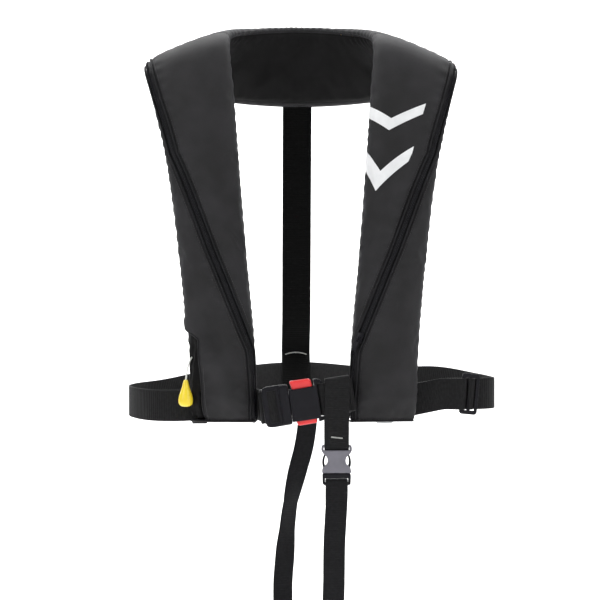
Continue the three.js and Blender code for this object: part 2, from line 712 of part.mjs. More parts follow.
// Webbing from the belt behind the right lobe comes round the lobe's inner edge and through the ladder.
const [rungA, rungB] = rungs;
const onBuckle = (x, y, z = 0) => ({ at: inBuckle(x, y, z), across: buckleUp });
const upright = (x, y, z) => ({ at: V(x, y, z), across: UP });
const bar = (rungA + rungB) / 2;
const over = barThickness / 2 + BELT.thickness / 2 + LAYER_GAP; // webbing's middle where it lies on a bar
add(
  "belt_front_right",
  webbing(
    [
      upright(-112, BELT_FRONT_Y + 2.3, beltZ + 1.5), upright(-90, BELT_FRONT_Y + 2.2, beltZ + 1),
      upright(-68, BELT_FRONT_Y + 1, beltZ + 0.5), upright(-56, -133, beltZ), upright(-51.6, -147, beltZ),
      upright(-50.5, -160, beltZ), onBuckle(-end - 3, 7.5), onBuckle(-end + 1, 5.6), onBuckle(rungA - 2.2, over + 0.6),
      onBuckle(rungA - 0.2, 2.8), onBuckle(rungA - 0.2, -2.6), onBuckle(bar - 2, -over - 0.3),
      onBuckle(bar + 2, -over - 0.3), onBuckle(rungB + 0.2, -2.6), onBuckle(rungB + 0.2, 2.8),
      onBuckle(rungB - 1.6, over + 0.7), onBuckle(rungB - 4.2, over + 1.1),
    ],
    BELT,
  ),
  finish.webbing,
);

// ---------------------------------------------------------------- left side: lobe ring and adjuster

const ringZ = beltZ + 1;
const ringWidth = BELT.width + 4;
add(
  "lobe_ring",
  cut(roundedBlock(22, 3, ringWidth + 8, 4), box(15, 10, ringWidth)).translate(ringX, ringY, ringZ),
  finish.steel,
);
const easing = (x, y, rise, share) => ({ at: V(hangX + x, y, beltZ + rise), across: UP.clone().lerp(buckleUp, share) });
add(
  "belt_front_left",
  webbing(
    [
      onBuckle(end + 12, -over), onBuckle(end - 3.4, -over - 0.2), onBuckle(end - 6.3, -2.8), onBuckle(end - 6.3, 2.8),
      onBuckle(end - 3.4, over + 0.2), onBuckle(end + 12, over), onBuckle(end + 31, over), easing(20.1, -170, 13.8, 1),
      easing(19.5, -164.5, 13, 0.9), easing(16.5, -156.5, 11, 0.7), easing(14.1, -147, 8.5, 0.5),
      easing(16, -135, 5.5, 0.3), easing(27.5, ringY - 2.2, 2, 0.1), upright(84, ringY - 2.8, beltZ),
      upright(91.5, ringY - 3, beltZ), upright(94.8, ringY - 2, beltZ), upright(94.8, ringY + 1.6, beltZ),
      upright(91.5, ringY + 3, beltZ), upright(76, ringY + 2.8, beltZ),
    ],
    BELT,
  ),
  finish.webbing,
);

// The long end comes forward round the left side, through the adjuster, round the ring, and back to the
// adjuster's middle bar on the outside of the first run.
const adjuster = { x: BELT_HALF_WIDTH - SIDE_BEND - 5, bar: 4, opening: 5, thickness: 2.6, height: BELT.width + 12 };
const facing = BELT_FRONT_Y - BELT.thickness / 2; // outer face of the belt's first run
adjuster.y = facing - 2 * LAYER_GAP - BELT.thickness - adjuster.thickness / 2;
const pitch = adjuster.bar + adjuster.opening;
add(
  "belt_adjuster",
  cut(
    roundedBlock(3 * adjuster.bar + 2 * adjuster.opening, adjuster.thickness, adjuster.height, 3),
    box(adjuster.opening, 10, slot, -pitch / 2),
    box(adjuster.opening, 10, slot, pitch / 2),
  ).translate(adjuster.x, adjuster.y, bend.z),
  finish.blackPlastic,
);
const onAdjuster = (x, y) => upright(adjuster.x + x, adjuster.y + y, bend.z);
add(
  "belt_return",
  webbing(
    [
      upright(115.5, ringY - 4.3, beltZ + 2), upright(mix(ringX, adjuster.x, 0.291), BELT_FRONT_Y - 3, beltZ + 4),
      upright(mix(ringX, adjuster.x, 0.485), BELT_FRONT_Y - 3.2, beltZ + 8), upright(mix(ringX, adjuster.x, 0.699), BELT_FRONT_Y - 4, bend.z), onAdjuster(-14, -2.8),
      onAdjuster(-8, -3.1), onAdjuster(-4.8, -1.5), onAdjuster(-3.9, 1.6), onAdjuster(-1.5, 2.6), onAdjuster(1.5, 2.6),
      onAdjuster(3.9, 1.6), onAdjuster(4.4, -1.3), onAdjuster(1.8, -2.9), onAdjuster(-1.5, -2.9),
    ],
    BELT,
  ),
  finish.webbing,
);

// Loops on the backs of the lobes carry the belt.
for (const [word, side, rise] of [["left", 1, 4], ["right", -1, 0.8]]) {
  const at = (y, z) => ({ at: V(side * 124, y, z), across: V(1, 0, 0) });
  const middle = beltZ + rise;
  add(
    `belt_loop_${word}`,
    webbing(
      [
        at(PACK_Y + 18, middle + 26), at(PACK_Y + 26, middle + 23), at(BELT_FRONT_Y + 6.4, middle + 19),
        at(BELT_FRONT_Y + 6.4, middle - 21), at(BELT_FRONT_Y + 3, middle - 22.8), at(PACK_Y + 13.5, middle - 23),
      ],
      { width: 18, thickness: 1.4 },
    ),
    finish.webbing,
  );
}

// ---------------------------------------------------------------- back strap

const normal = V(0, Math.cos(LEAN_ANGLE), -Math.sin(LEAN_ANGLE)); // outwards from the belt at the back
const onBack = (lift, out) =>
  V(0, BELT_BACK_Y, backZ).addScaledVector(LEAN, lift).addScaledVector(normal, out);
const layer = BELT.thickness + LAYER_GAP;
const flat = (p, x = 0) => ({ at: V(x, p.y, p.z), across: V(1, 0, 0) });
add(
  "back_strap",
  webbing(
    [
      flat(V(0, 38, -95.4)), flat(V(0, 45, -130)), flat(V(0, 54, -200)), flat(V(0, 66, -300)), flat(V(0, 76, -380)),
      flat(onBack(37, -3.4)), flat(onBack(20, -layer)), flat(onBack(-20, -layer)), flat(onBack(-22.5, -1.3)), flat(onBack(-22.5, 1.3)),
      flat(onBack(-20, layer)), flat(onBack(20, layer)), flat(onBack(36, 0.6)), flat(onBack(43, -0.6)),
    ],
    BELT,
  ),
  finish.webbing,
);
const TACK = { width: 28, height: 1.8, arch: 3, thickness: 0.5 };
const tackAt = onBack(31, -4.4);
add(
  "back_strap_tack",
  sheet(
    8,
    1,
    (u, v, sunk) => {
      const z = -TACK.arch * (2 * u - 1) ** 2 + TACK.height * (v - 0.5);
      return V(TACK.width * (u - 0.5), tackAt.y + z * Math.tan(LEAN_ANGLE) + sunk, tackAt.z + z);
    },
    TACK.thickness,
  ),
  finish.whiteCord,
);

// ---------------------------------------------------------------- crotch strap and its buckle

const crotch = new THREE.Group();
crotch.position.set(hangX, buckle.position.y, drop(1) - 46);
root.add(crotch);
const cx = crotch.position.x;
const cy = crotch.position.y;
const cz = crotch.position.z;
const hang = (y, z, x = cx) => ({ at: V(x, y, z), across: V(1, 0, 0) });
const slung = (y, z) => ({ at: V(cx, y, z), across: V(Math.cos(TILT), 0, Math.sin(TILT)) });
const loopHalf = over + BELT.thickness / 2 + LAYER_GAP + CROTCH_LOOP.thickness / 2;
add(
  "crotch_loop",
  webbing(
    [
      slung(cy - loopHalf, beltZ + 31.8), hang(cy - loopHalf, cz + 43), hang(cy - 4.7, cz + 24), hang(cy - 4.2, cz + 18),
      hang(cy - 2.2, cz + 14.8), hang(cy + 2.2, cz + 14.8), hang(cy + 4.2, cz + 18), hang(cy + 4.7, cz + 24),
      hang(cy + loopHalf, cz + 43), slung(cy + loopHalf, beltZ + 31.8), slung(cy + 5, beltZ + 34), slung(cy - 5, beltZ + 34),
    ],
    CROTCH_LOOP,
    true,
  ),
  finish.webbing,
);
add("crotch_loop_tack", box(13, 0.5, 1.8, cx, cy - 6.6, cz + 29), finish.whiteCord);
const CT = CROTCH_BUCKLE.thickness;
add(
  "crotch_socket",
  cut(
    plate(
      outline([
        [-18, 20, 3], [18, 20, 3], [18, 9, 3], [15.2, 2, 3], [17.5, -6, 3], [17, -13, 3],
        [-17, -13, 3], [-17.5, -6, 3], [-15.2, 2, 3], [-18, 9, 3],
      ]),
      CT,
    ),
    box(32, 30, 4.5, 0, 0, 14.75),
    box(50, 10, 12, 0, CT / 2 + 2, 18.5),
    box(50, 10, 12, 0, -CT / 2 - 2, 18.5),
    box(27, 7, 31, 0, 0, -7.5),
    box(6, 30, 8, 16, 0, -3.2),
    box(6, 30, 8, -16, 0, -3.2),
  ),
  finish.greyPlastic,
  crotch,
);
add(
  "crotch_plug",
  cut(
    joined(
      plate(outline([[-17, -13.4, 3], [17, -13.4, 3], [16, -27.5, 3], [-16, -27.5, 3]]), CROTCH_BUCKLE.plugThickness),
      box(5, 5, 18, 0, 0, -6),
    ),
    box(27.5, 20, 4.5, 0, 0, -21.5),
  ),
  finish.blackPlastic,
  crotch,
);
for (const [word, side] of [["left", 1], ["right", -1]]) {
  add(
    `crotch_prong_${word}`,
    plate(
      outline([[8, -12.9, 0.5], [10.5, -12.9, 0.5], [10.8, -6, 0.5], [13, -5.5, 0.5], [12.6, -1, 1], [10.5, 1.5, 1], [8.6, 1.5, 0.5]]
        .map(([x, z, r]) => [side * x, z, r])),
      6,
      1,
    ),
    finish.blackPlastic,
    crotch,
  );
}
const lapped = CROTCH_BUCKLE.plugThickness / 2 + LAYER_GAP + CROTCH.thickness / 2;
const along = (points) =>
  new THREE.CatmullRomCurve3(points.map((p) => V(...p)), false, "centripetal").getPoints(2 * points.length + 2);
const turned = (p, twist) => ({ at: p, across: V(Math.cos(twist), Math.sin(twist), 0) });
add(
  "crotch_strap_front",
  webbing(
    [
      hang(cy + lapped, cz - 52), hang(cy + lapped, cz - 25.5), hang(cy + lapped + 0.3, cz - 23.4), hang(cy + 4.2, cz - 21.3), hang(cy - 4.2, cz - 21.3),
      hang(cy - lapped - 0.3, cz - 23.4), hang(cy - lapped, cz - 25.5),
      ...along([
        [cx, cy - lapped + 0.4, cz - 40], [cx - 2.5, cy + 1, cz - 97], [cx - 3, -170, cz - 157], [33, -154, cz - 227],
        [28, -126, cz - 285], [21, -90, cz - 317], [15, -52, cz - 328],
      ]).map((p) => turned(p, 0)),
    ],
    CROTCH,
  ),
  finish.webbing,
);
const rearTop = onBack(-21, 6.4);
add(
  "crotch_strap_rear",
  webbing(
    [
      ...along([
        [13.9, -48.4, cz - 328], [4, -5, cz - 317], [-10, 40, cz - 275], [-17, 66, cz - 227], [-18, 76, cz - 192],
        [-15.4, 79, cz - 155], [-12.2, 80, cz - 117], [-7.4, 81, cz - 80], [1, 81, cz - 42], [10.5, 80, cz - 5],
        [15, 78, cz + 28], [16, rearTop.y, rearTop.z - 6],
      ]).map((p) => turned(p, rad(45) * smooth(p.z, cz - 157, cz - 97) * (1 - smooth(p.z, cz - 97, cz - 17)))),
      flat(onBack(-15, layer + 2.2), 16), flat(onBack(0, layer + 2.2), 16), flat(onBack(18, layer + 2.2), 16),
    ],
    CROTCH,
  ),
  finish.webbing,
);

// ---------------------------------------------------------------- pull cord and toggle, at the right lobe's pocket

const TOGGLE = { length: 32, radius: 8.8, x: -140, y: PACK_Y - 7, top: drop(1) + 50 };
const eyeWorld = V(inflator.x + leverX, PACK_Y, inflator.z + eyeZ);
const cordLine = new THREE.CatmullRomCurve3([
  eyeWorld.clone().add(V(-3.6, 0, 0)), V(-131.5, -151, eyeWorld.z - 2), V(-136, -154, eyeWorld.z - 10),
  V(TOGGLE.x + 1.6, TOGGLE.y, eyeWorld.z - 20), V(TOGGLE.x, TOGGLE.y, TOGGLE.top + 0.6),
]);
const cordRound = new THREE.Shape().absarc(0, 0, 1, 0, 2 * Math.PI);
add(
  "pull_cord",
  new THREE.ExtrudeGeometry(cordRound, { extrudePath: cordLine, steps: 18, curveSegments: 4, bevelEnabled: false }),
  finish.whiteCord,
);
add(
  "pull_toggle",
  new THREE.LatheGeometry(
    [[0, 0], [2.2, -0.2], [3.2, -3], [4.6, -9], [7.4, -17], [TOGGLE.radius, -24], [7.6, -29.5], [4, -TOGGLE.length + 0.3], [0, -TOGGLE.length]]
      .map(([r, z]) => new THREE.Vector2(r, z))
      .reverse(),
    14,
  )
    .rotateX(Math.PI / 2)
    .translate(TOGGLE.x, TOGGLE.y, TOGGLE.top),
  finish.yellowPlastic,
);

// ---------------------------------------------------------------- reflective marks and zip sliders

const MARK = { lift: 1.1, wall: 0.5, width: 0.2, slant: 0.3 };
for (const [word, k0] of [["upper", 4.35], ["lower", 3.6]]) {
  add(
    `reflector_${word}`,
    sheet(
      10,
      1,
      (u, v, sunk) => {
        const k = k0 + MARK.slant * Math.abs(2 * u - 1) + MARK.width * v;
        return skin(k, mix(zipLine(k) + 26, neckSide(k) + 5, u), sunk - MARK.lift);
      },
      MARK.wall,
    ),
    finish.whiteCord,
  );
}
const SLIDER = { k: 2.15, length: 12, width: 8, thickness: 3.2 };
{
  const slider = new THREE.Group();
  const at = skin(SLIDER.k, zipLine(SLIDER.k));
  const up = skin(SLIDER.k + 0.05, zipLine(SLIDER.k + 0.05)).sub(skin(SLIDER.k - 0.05, zipLine(SLIDER.k - 0.05))).normalize();
  const { middle } = sectionAt(SLIDER.k);
  const side = skin(SLIDER.k, zipLine(SLIDER.k) + 2).sub(skin(SLIDER.k, zipLine(SLIDER.k) - 2)).normalize();
  const face = side.clone().cross(up).normalize();
  if (face.dot(at.clone().sub(middle)) < 0) face.negate();
  slider.quaternion.setFromRotationMatrix(new THREE.Matrix4().makeBasis(face.clone().cross(up), face, up));
  slider.position.copy(at).addScaledVector(face, SLIDER.thickness / 2 + 1.2);
  root.add(slider);
  add(
    "zip_slider",
    cut(
      joined(
        roundedBlock(SLIDER.width, SLIDER.thickness, SLIDER.length, 2),
        box(1.4, 3.8, 7, 0, SLIDER.thickness / 2 + 1.7, 0),
      ),
      rodX(1.3, 10).translate(0, SLIDER.thickness / 2 + 1.6, 0),
    ),
    finish.steel,
    slider,
  );
  const tab = cut(
    roundedBlock(5.4, 1.2, 17, 0.8).translate(0, 0, -7.9),
    box(2.4, 6, 4.4, 0, 0, -2.8),
  );
  add("zip_pull", tab.translate(0, SLIDER.thickness / 2 + 1.6, 0), finish.blackPlastic, slider);
}

export default root;
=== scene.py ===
# %% [markdown]
# # An inflatable life jacket, built around its CAD frame
# The jacket is a long padded yoke that lies round the neck and hangs down the chest in two lobes. A
# waist belt and a crotch strap hold it on. The CAD model fixes every size; here each piece gets its
# real surface: sewn cloth panels over a folded bladder, piped zips, ribbed webbing and moulded
# buckles.

# %% Load the frame
import math

import bmesh
import bpy
import numpy as np
from mathutils import Matrix, Vector


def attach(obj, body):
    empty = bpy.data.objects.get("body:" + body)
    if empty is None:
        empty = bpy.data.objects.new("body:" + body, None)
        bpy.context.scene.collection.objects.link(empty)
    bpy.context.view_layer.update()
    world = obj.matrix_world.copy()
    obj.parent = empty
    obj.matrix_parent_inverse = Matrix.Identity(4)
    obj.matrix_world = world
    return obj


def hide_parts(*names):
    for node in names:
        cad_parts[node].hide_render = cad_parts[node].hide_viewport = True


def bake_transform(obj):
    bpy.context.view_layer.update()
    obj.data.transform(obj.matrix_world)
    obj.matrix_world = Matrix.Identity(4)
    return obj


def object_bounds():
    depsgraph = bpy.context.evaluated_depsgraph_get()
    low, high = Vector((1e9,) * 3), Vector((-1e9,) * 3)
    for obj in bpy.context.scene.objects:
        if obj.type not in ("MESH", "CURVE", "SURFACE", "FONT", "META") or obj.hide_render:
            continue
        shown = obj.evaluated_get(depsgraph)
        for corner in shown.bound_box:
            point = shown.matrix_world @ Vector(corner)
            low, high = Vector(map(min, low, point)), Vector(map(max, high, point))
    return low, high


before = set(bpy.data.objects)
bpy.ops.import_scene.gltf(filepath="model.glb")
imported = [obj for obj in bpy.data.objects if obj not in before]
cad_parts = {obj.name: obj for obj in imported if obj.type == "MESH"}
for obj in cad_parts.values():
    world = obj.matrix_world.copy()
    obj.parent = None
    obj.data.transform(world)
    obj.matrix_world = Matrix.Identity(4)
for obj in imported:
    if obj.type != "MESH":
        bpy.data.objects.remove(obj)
cad_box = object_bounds()
root_body = "jacket"
print("CAD box", [tuple(round(v, 4) for v in corner) for corner in cad_box])

# %% [markdown]
# ## The camera
# A long lens at chest height, two metres off and a little to the wearer's right, gives the flat,
# catalogue-like view. The direction is set first, because cords may only lie where this camera
# allows.

# %% Camera
EYE = Vector((-0.077, -2.06, -0.352))
YAW = math.radians(-2.2)  # the camera looks a little to the wearer's left
camera = bpy.data.objects.new("camera", bpy.data.cameras.new("camera"))
camera.data.sensor_width = 36
camera.data.lens = 95.8
camera.location = EYE
camera.rotation_euler = (math.pi / 2, 0, YAW)
bpy.context.scene.collection.objects.link(camera)
bpy.context.scene.camera = camera

# %% [markdown]
# ## Floor and light
# The jacket hangs as if it were worn, so nothing touches the floor. A pale sweep runs under it and
# up behind it. Large soft lights from both sides and above show the cloth's folds without hard
# shadows.

# %% Stage
BELOW = 0.06  # how far the floor is under the jacket
FLOOR_Z = cad_box[0].z - BELOW
FRONT_EDGE, BEND_START, BEND_RADIUS, WALL_HEIGHT, HALF_WIDTH = -6.0, 2.2, 1.2, 6, 8


def sweep_mesh():
    """A floor that curves up into a wall behind the object."""
    profile = [(FRONT_EDGE, FLOOR_Z), (BEND_START, FLOOR_Z)]
    profile += [
        (BEND_START + BEND_RADIUS * math.sin(a), FLOOR_Z + BEND_RADIUS - BEND_RADIUS * math.cos(a))
        for a in np.linspace(0, math.pi / 2, 12)[1:]
    ]
    profile.append((BEND_START + BEND_RADIUS, FLOOR_Z + WALL_HEIGHT))
    verts = [(x, y, z) for y, z in profile for x in (-HALF_WIDTH, HALF_WIDTH)]
    faces = [(2 * i, 2 * i + 1, 2 * i + 3, 2 * i + 2) for i in range(len(profile) - 1)]
    mesh = bpy.data.meshes.new("sweep")
    mesh.from_pydata(verts, [], faces)
    return mesh


def pale(name, value):
    mat = bpy.data.materials.new(name)
    mat.use_nodes = True
    mat.node_tree.nodes["Principled BSDF"].inputs["Base Color"].default_value = (
        value, value, value, 1
    )
    mat.node_tree.nodes["Principled BSDF"].inputs["Roughness"].default_value = 0.9
    return mat


sweep = bpy.data.objects.new("sweep", sweep_mesh())
bpy.context.scene.collection.objects.link(sweep)
sweep.data.materials.append(pale("pale_floor", 0.92))


def soft_light(name, place, target, size, power):
    light = bpy.data.objects.new(name, bpy.data.lights.new(name, "AREA"))
    light.data.shape = "RECTANGLE"
    light.data.size, light.data.size_y = size
    light.data.energy = power
    light.location = place
    light.rotation_euler = (Vector(target) - Vector(place)).to_track_quat("-Z", "Y").to_euler()
    bpy.context.scene.collection.objects.link(light)


CHEST = (0, -0.05, -0.35)
soft_light("key_left", (-2.2, -2.4, 1.0), CHEST, (1.4, 2.2), 30)
soft_light("fill_right", (2.4, -2.2, 0.5), CHEST, (1.4, 2.2), 21)
soft_light("top", (0, -0.5, 2.4), CHEST, (2.4, 1.6), 22)
soft_light("front_low", (0.3, -3.2, -0.6), CHEST, (2.0, 1.2), 7)
soft_light("wall_wash", (0, 0.9, 1.6), (0, 3.2, -0.4), (4.0, 0.8), 150)
soft_light("floor_wash", (0, 0.9, 1.9), (0, 0.9, -1.0), (5.0, 1.2), 60)
world = bpy.data.worlds.new("studio")
world.use_nodes = True
world.node_tree.nodes["Background"].inputs["Color"].default_value = (1, 1, 1, 1)
world.node_tree.nodes["Background"].inputs["Strength"].default_value = 0.42
bpy.context.scene.world = world
bpy.context.scene.view_settings.view_transform = "Standard"

# %% [markdown]
# ## Materials
# Each finish is a small node tree. Cloth and webbing read the piece's own UV map, laid out in
# metres, so the weave keeps its real scale along every curve. Moulded plastic and metal read Object
# coordinates. What every tree has in common is made once: a shader, a coordinate, a noise and a
# bump.

# %% Material helpers
def new_shader(name, **values):
    """A Principled material. Each value goes on the shader's own socket."""
    mat = bpy.data.materials.new(name)
    mat.use_nodes = True
    shader = mat.node_tree.nodes["Principled BSDF"]
    for socket, value in values.items():
        shader.inputs[socket.replace("_", " ")].default_value = value
    return mat, mat.node_tree, shader


def feed(shader, **sources):
    """Links each source to the shader's own socket of that name."""
    for socket, source in sources.items():
        shader.id_data.links.new(source, shader.inputs[socket.replace("_", " ")])


def add_node(tree, kind, settings=(), **inputs):
    """A node with its settings, and its inputs either linked or set."""
    node = tree.nodes.new(kind)
    for key, value in dict(settings).items():
        setattr(node, key, value)
    for key, value in inputs.items():
        if key[0] == "_" and key[1:].isdigit():
            socket = node.inputs[int(key[1:])]
        else:
            socket = node.inputs[key.replace("_", " ")]
        if isinstance(value, bpy.types.NodeSocket):
            tree.links.new(value, socket)
        else:
            socket.default_value = value
    return node


def coordinates(tree, uv=None):
    if uv:
        return add_node(tree, "ShaderNodeUVMap", {"uv_map": uv}).outputs["UV"]
    return add_node(tree, "ShaderNodeTexCoord").outputs["Object"]


def noise(tree, where, size, detail=3.0, roughness=0.55):
    """Noise whose features are about that size in metres."""
    return add_node(
        tree, "ShaderNodeTexNoise", Vector=where, Scale=1 / size, Detail=detail, Roughness=roughness
    ).outputs["Fac"]


def bands(tree, where, pitch, direction):
    """Even bands, one each pitch metres. A Wave texture of scale 1 repeats each pi / 10."""
    return add_node(
        tree, "ShaderNodeTexWave", {"bands_direction": direction}, Vector=where,
        Scale=math.pi / 10 / pitch
    ).outputs["Fac"]


def ramp(tree, fac, low, high, start=0.3, end=0.7):
    node = add_node(tree, "ShaderNodeValToRGB", Fac=fac)
    node.color_ramp.elements[0].position, node.color_ramp.elements[0].color = start, (*low, 1)
    node.color_ramp.elements[1].position, node.color_ramp.elements[1].color = end, (*high, 1)
    return node.outputs["Color"]


def math_node(tree, operation, a, b):
    return add_node(tree, "ShaderNodeMath", {"operation": operation}, _0=a, _1=b).outputs["Value"]


def bump(tree, height, depth, strength=1.0, below=None):
    """Bump of that depth in metres. below is a bump that this one lies on."""
    inputs = {"Height": height, "Strength": strength, "Distance": depth}
    if below is not None:
        inputs["Normal"] = below
    return add_node(tree, "ShaderNodeBump", **inputs).outputs["Normal"]


def range_node(tree, value, low, high):
    return add_node(
        tree, "ShaderNodeMapRange", Value=value, To_Min=low, To_Max=high
    ).outputs["Result"]


# %% [markdown]
# The cover is a coated polyester weave: fine crossed threads, a slight uneven sheen, and slow
# changes of tone where the cloth has been handled. The lining is the same weave, painted several
# times darker than the cover: that darkness is painted shade, for the shade inside the collar and
# in the pocket's recess.

# %% Cloth
THREAD_PITCH = 0.0011


def woven_cloth(name, dark, light, sheen, shine=0.28):
    mat, tree, shader = new_shader(
        name, Sheen_Weight=sheen, Sheen_Roughness=0.45, Sheen_Tint=(0.75, 0.77, 0.85, 1),
        Specular_IOR_Level=shine
    )
    where = coordinates(tree, "cloth")
    tone = noise(tree, where, 0.05, 2.0)
    fleck = noise(tree, where, 0.0016, 2.0)
    mixed = math_node(
        tree, "ADD", math_node(tree, "MULTIPLY", tone, 0.8), math_node(tree, "MULTIPLY", fleck, 0.2)
    )
    feed(shader, Base_Color=ramp(tree, mixed, dark, light, 0.36, 0.64))
    warp = bands(tree, where, THREAD_PITCH, "X")
    weft = bands(tree, where, THREAD_PITCH, "Y")
    weave = math_node(
        tree, "ADD", math_node(tree, "MULTIPLY", warp, 0.5), math_node(tree, "MULTIPLY", weft, 0.5)
    )
    slub = bump(tree, noise(tree, where, 0.012, 3.0), 0.0006, 0.5)
    feed(shader, Normal=bump(tree, weave, 0.00025, 0.6, slub))
    feed(shader, Roughness=range_node(tree, noise(tree, where, 0.03), 0.5, 0.72))
    return mat


cover_cloth = woven_cloth("cover_cloth", (0.0105, 0.0102, 0.0110), (0.0185, 0.0178, 0.0200), 0.035)
# Painted shade: the lining's colour is several times darker than the cover's, standing in for the
# shade inside the collar and in the pocket's mouth.
lining_cloth_painted_shade = woven_cloth(
    "lining_cloth_painted_shade", (0.0022, 0.0021, 0.0023), (0.0050, 0.0048, 0.0052), 0.008, 0.15
)
binding_cloth = woven_cloth(
    "binding_cloth", (0.0035, 0.0035, 0.0045), (0.0075, 0.0075, 0.0095), 0.015
)


# %% [markdown]
# Webbing is woven in ribs that run across it. The ribs themselves are in the mesh; the material
# adds the fine threads that cross them, and a selvedge that is a little smoother.

# %% Webbing and thread
def ribbed_webbing(name, dark, light, shine=0.13):
    mat, tree, shader = new_shader(
        name, Sheen_Weight=0.02, Sheen_Roughness=0.5, Specular_IOR_Level=shine
    )
    where = coordinates(tree, "cloth")
    grain = noise(tree, where, 0.004, 3.0)
    feed(shader, Base_Color=ramp(tree, grain, dark, light))
    threads = bands(tree, where, 0.0012, "X")
    ribs = bands(tree, where, 0.0013, "Y")
    across = bump(tree, ribs, 0.0003, 0.5)
    feed(shader, Normal=bump(tree, threads, 0.00025, 0.5, across))
    feed(shader, Roughness=range_node(tree, grain, 0.42, 0.62))
    return mat


webbing_cloth = ribbed_webbing("webbing_cloth", (0.0060, 0.0060, 0.0064), (0.0120, 0.0120, 0.0128))
# Painted shade: the back strap's webbing is the same weave several times darker than the belt's,
# standing in for the shadow the strap lies in behind the jacket.
back_webbing_painted_shade = ribbed_webbing("back_webbing_painted_shade", (0.0016, 0.0017, 0.0017), (0.0036, 0.0038, 0.0037), 0.06)
crotch_cloth = ribbed_webbing("crotch_cloth", (0.0042, 0.0042, 0.0050), (0.0090, 0.0090, 0.0105))


def twisted_thread(name, dark, light, pitch):
    mat, tree, shader = new_shader(name, Sheen_Weight=0.15, Roughness=0.55)
    where = coordinates(tree)
    feed(shader, Base_Color=ramp(tree, noise(tree, where, 0.002), dark, light))
    twist = add_node(
        tree, "ShaderNodeTexWave", {"bands_direction": "DIAGONAL"}, Vector=where,
        Scale=math.pi / 10 / pitch
    )
    feed(shader, Normal=bump(tree, twist.outputs["Fac"], 0.0003, 0.7))
    return mat


black_thread = twisted_thread("black_thread", (0.009, 0.009, 0.010), (0.022, 0.022, 0.025), 0.0008)
grey_thread = twisted_thread("grey_thread", (0.30, 0.31, 0.30), (0.52, 0.53, 0.50), 0.0008)
white_cord = twisted_thread("white_cord", (0.62, 0.64, 0.60), (0.86, 0.87, 0.82), 0.0015)


# %% [markdown]
# Moulded plastic has a faint spark-eroded texture, a slow change of tone, and scuffs that show
# where the roughness changes.

# %% Plastic, metal and rubber
def moulded(
    name, base, roughness, grain=0.0007, depth=0.00006, coat=0.0, subsurface=0.0, spread=0.12,
    shine=0.5
):
    mat, tree, shader = new_shader(
        name, Coat_Weight=coat, Coat_Roughness=0.12, Specular_IOR_Level=shine,
        Subsurface_Weight=subsurface
    )
    where = coordinates(tree)
    low = tuple(c * (1 - spread) for c in base)
    high = tuple(min(1.0, c * (1 + spread)) for c in base)
    feed(shader, Base_Color=ramp(tree, noise(tree, where, 0.018, 2.0), low, high))
    scuffs = noise(tree, where, 0.006, 4.0, 0.7)
    feed(shader, Roughness=range_node(tree, scuffs, roughness - 0.07, roughness + 0.1))
    feed(shader, Normal=bump(tree, noise(tree, where, grain, 2.0), depth, 0.6))
    return mat


black_acetal = moulded(
    "black_acetal", (0.0072, 0.0070, 0.0098), 0.33, grain=0.0009, depth=0.00002, shine=0.16
)
grey_acetal = moulded("grey_acetal", (0.150, 0.146, 0.172), 0.42)
red_acetal = moulded("red_acetal", (0.78, 0.030, 0.032), 0.3, coat=0.15, spread=0.05)
yellow_acetal = moulded(
    "yellow_acetal", (0.86, 0.66, 0.03), 0.28, coat=0.2, subsurface=0.05, spread=0.05
)
black_rubber = moulded("black_rubber", (0.011, 0.011, 0.011), 0.7, grain=0.001)


def plated_steel(name, base=(0.52, 0.53, 0.54), roughness=0.3):
    mat, tree, shader = new_shader(name, Metallic=1.0)
    where = coordinates(tree)
    feed(
        shader, Base_Color=ramp(tree, noise(tree, where, 0.01), tuple(c * 0.85 for c in base), base)
    )
    brushed = add_node(
        tree, "ShaderNodeMapping", Vector=where, Scale=(1, 1, 0.05)
    ).outputs["Vector"]
    streaks = noise(tree, brushed, 0.0006, 2.0)
    feed(shader, Roughness=range_node(tree, streaks, roughness - 0.08, roughness + 0.12))
    feed(shader, Normal=bump(tree, streaks, 0.00004, 0.5))
    return mat


steel = plated_steel("plated_steel")


def coated_bladder(name):
    mat, tree, shader = new_shader(name, Coat_Weight=0.25, Coat_Roughness=0.3)
    where = coordinates(tree)
    feed(
        shader, Base_Color=ramp(tree, noise(tree, where, 0.04), (0.80, 0.46, 0.01),
            (0.93, 0.60, 0.03))
    )
    creases = bump(tree, noise(tree, where, 0.02, 4.0), 0.003, 0.7)
    feed(shader, Normal=bump(tree, noise(tree, where, 0.0008), 0.0002, 0.4, creases))
    feed(shader, Roughness=range_node(tree, noise(tree, where, 0.03), 0.38, 0.55))
    return mat


bladder_cloth = coated_bladder("bladder_cloth")


# %% [markdown]
# Reflective tape is glass beads under a clear film: nearly white, faintly honeycombed, with a soft
# shine.

# %% Reflective tape
def beaded_tape(name):
    mat, tree, shader = new_shader(
        name, Specular_IOR_Level=0.5, Coat_Weight=0.15, Coat_Roughness=0.3
    )
    where = coordinates(tree)
    feed(
        shader, Base_Color=ramp(tree, noise(tree, where, 0.02), (0.74, 0.75, 0.76),
            (0.86, 0.87, 0.88))
    )
    cells = add_node(
        tree, "ShaderNodeTexVoronoi", {"feature": "DISTANCE_TO_EDGE"}, Vector=where, Scale=500.0
    )
    feed(shader, Normal=bump(tree, cells.outputs["Distance"], 0.0001, 0.5))
    feed(shader, Roughness=range_node(tree, noise(tree, where, 0.01), 0.36, 0.5))
    return mat


reflective_tape = beaded_tape("reflective_tape")
print("materials", len(bpy.data.materials))

# %% [markdown]
# ## Mesh helpers
# Most pieces here are either a sheet between two lines or a section carried along a path. Both are
# grids of points, so two helpers turn a numpy grid into a closed mesh with a UV map in metres.

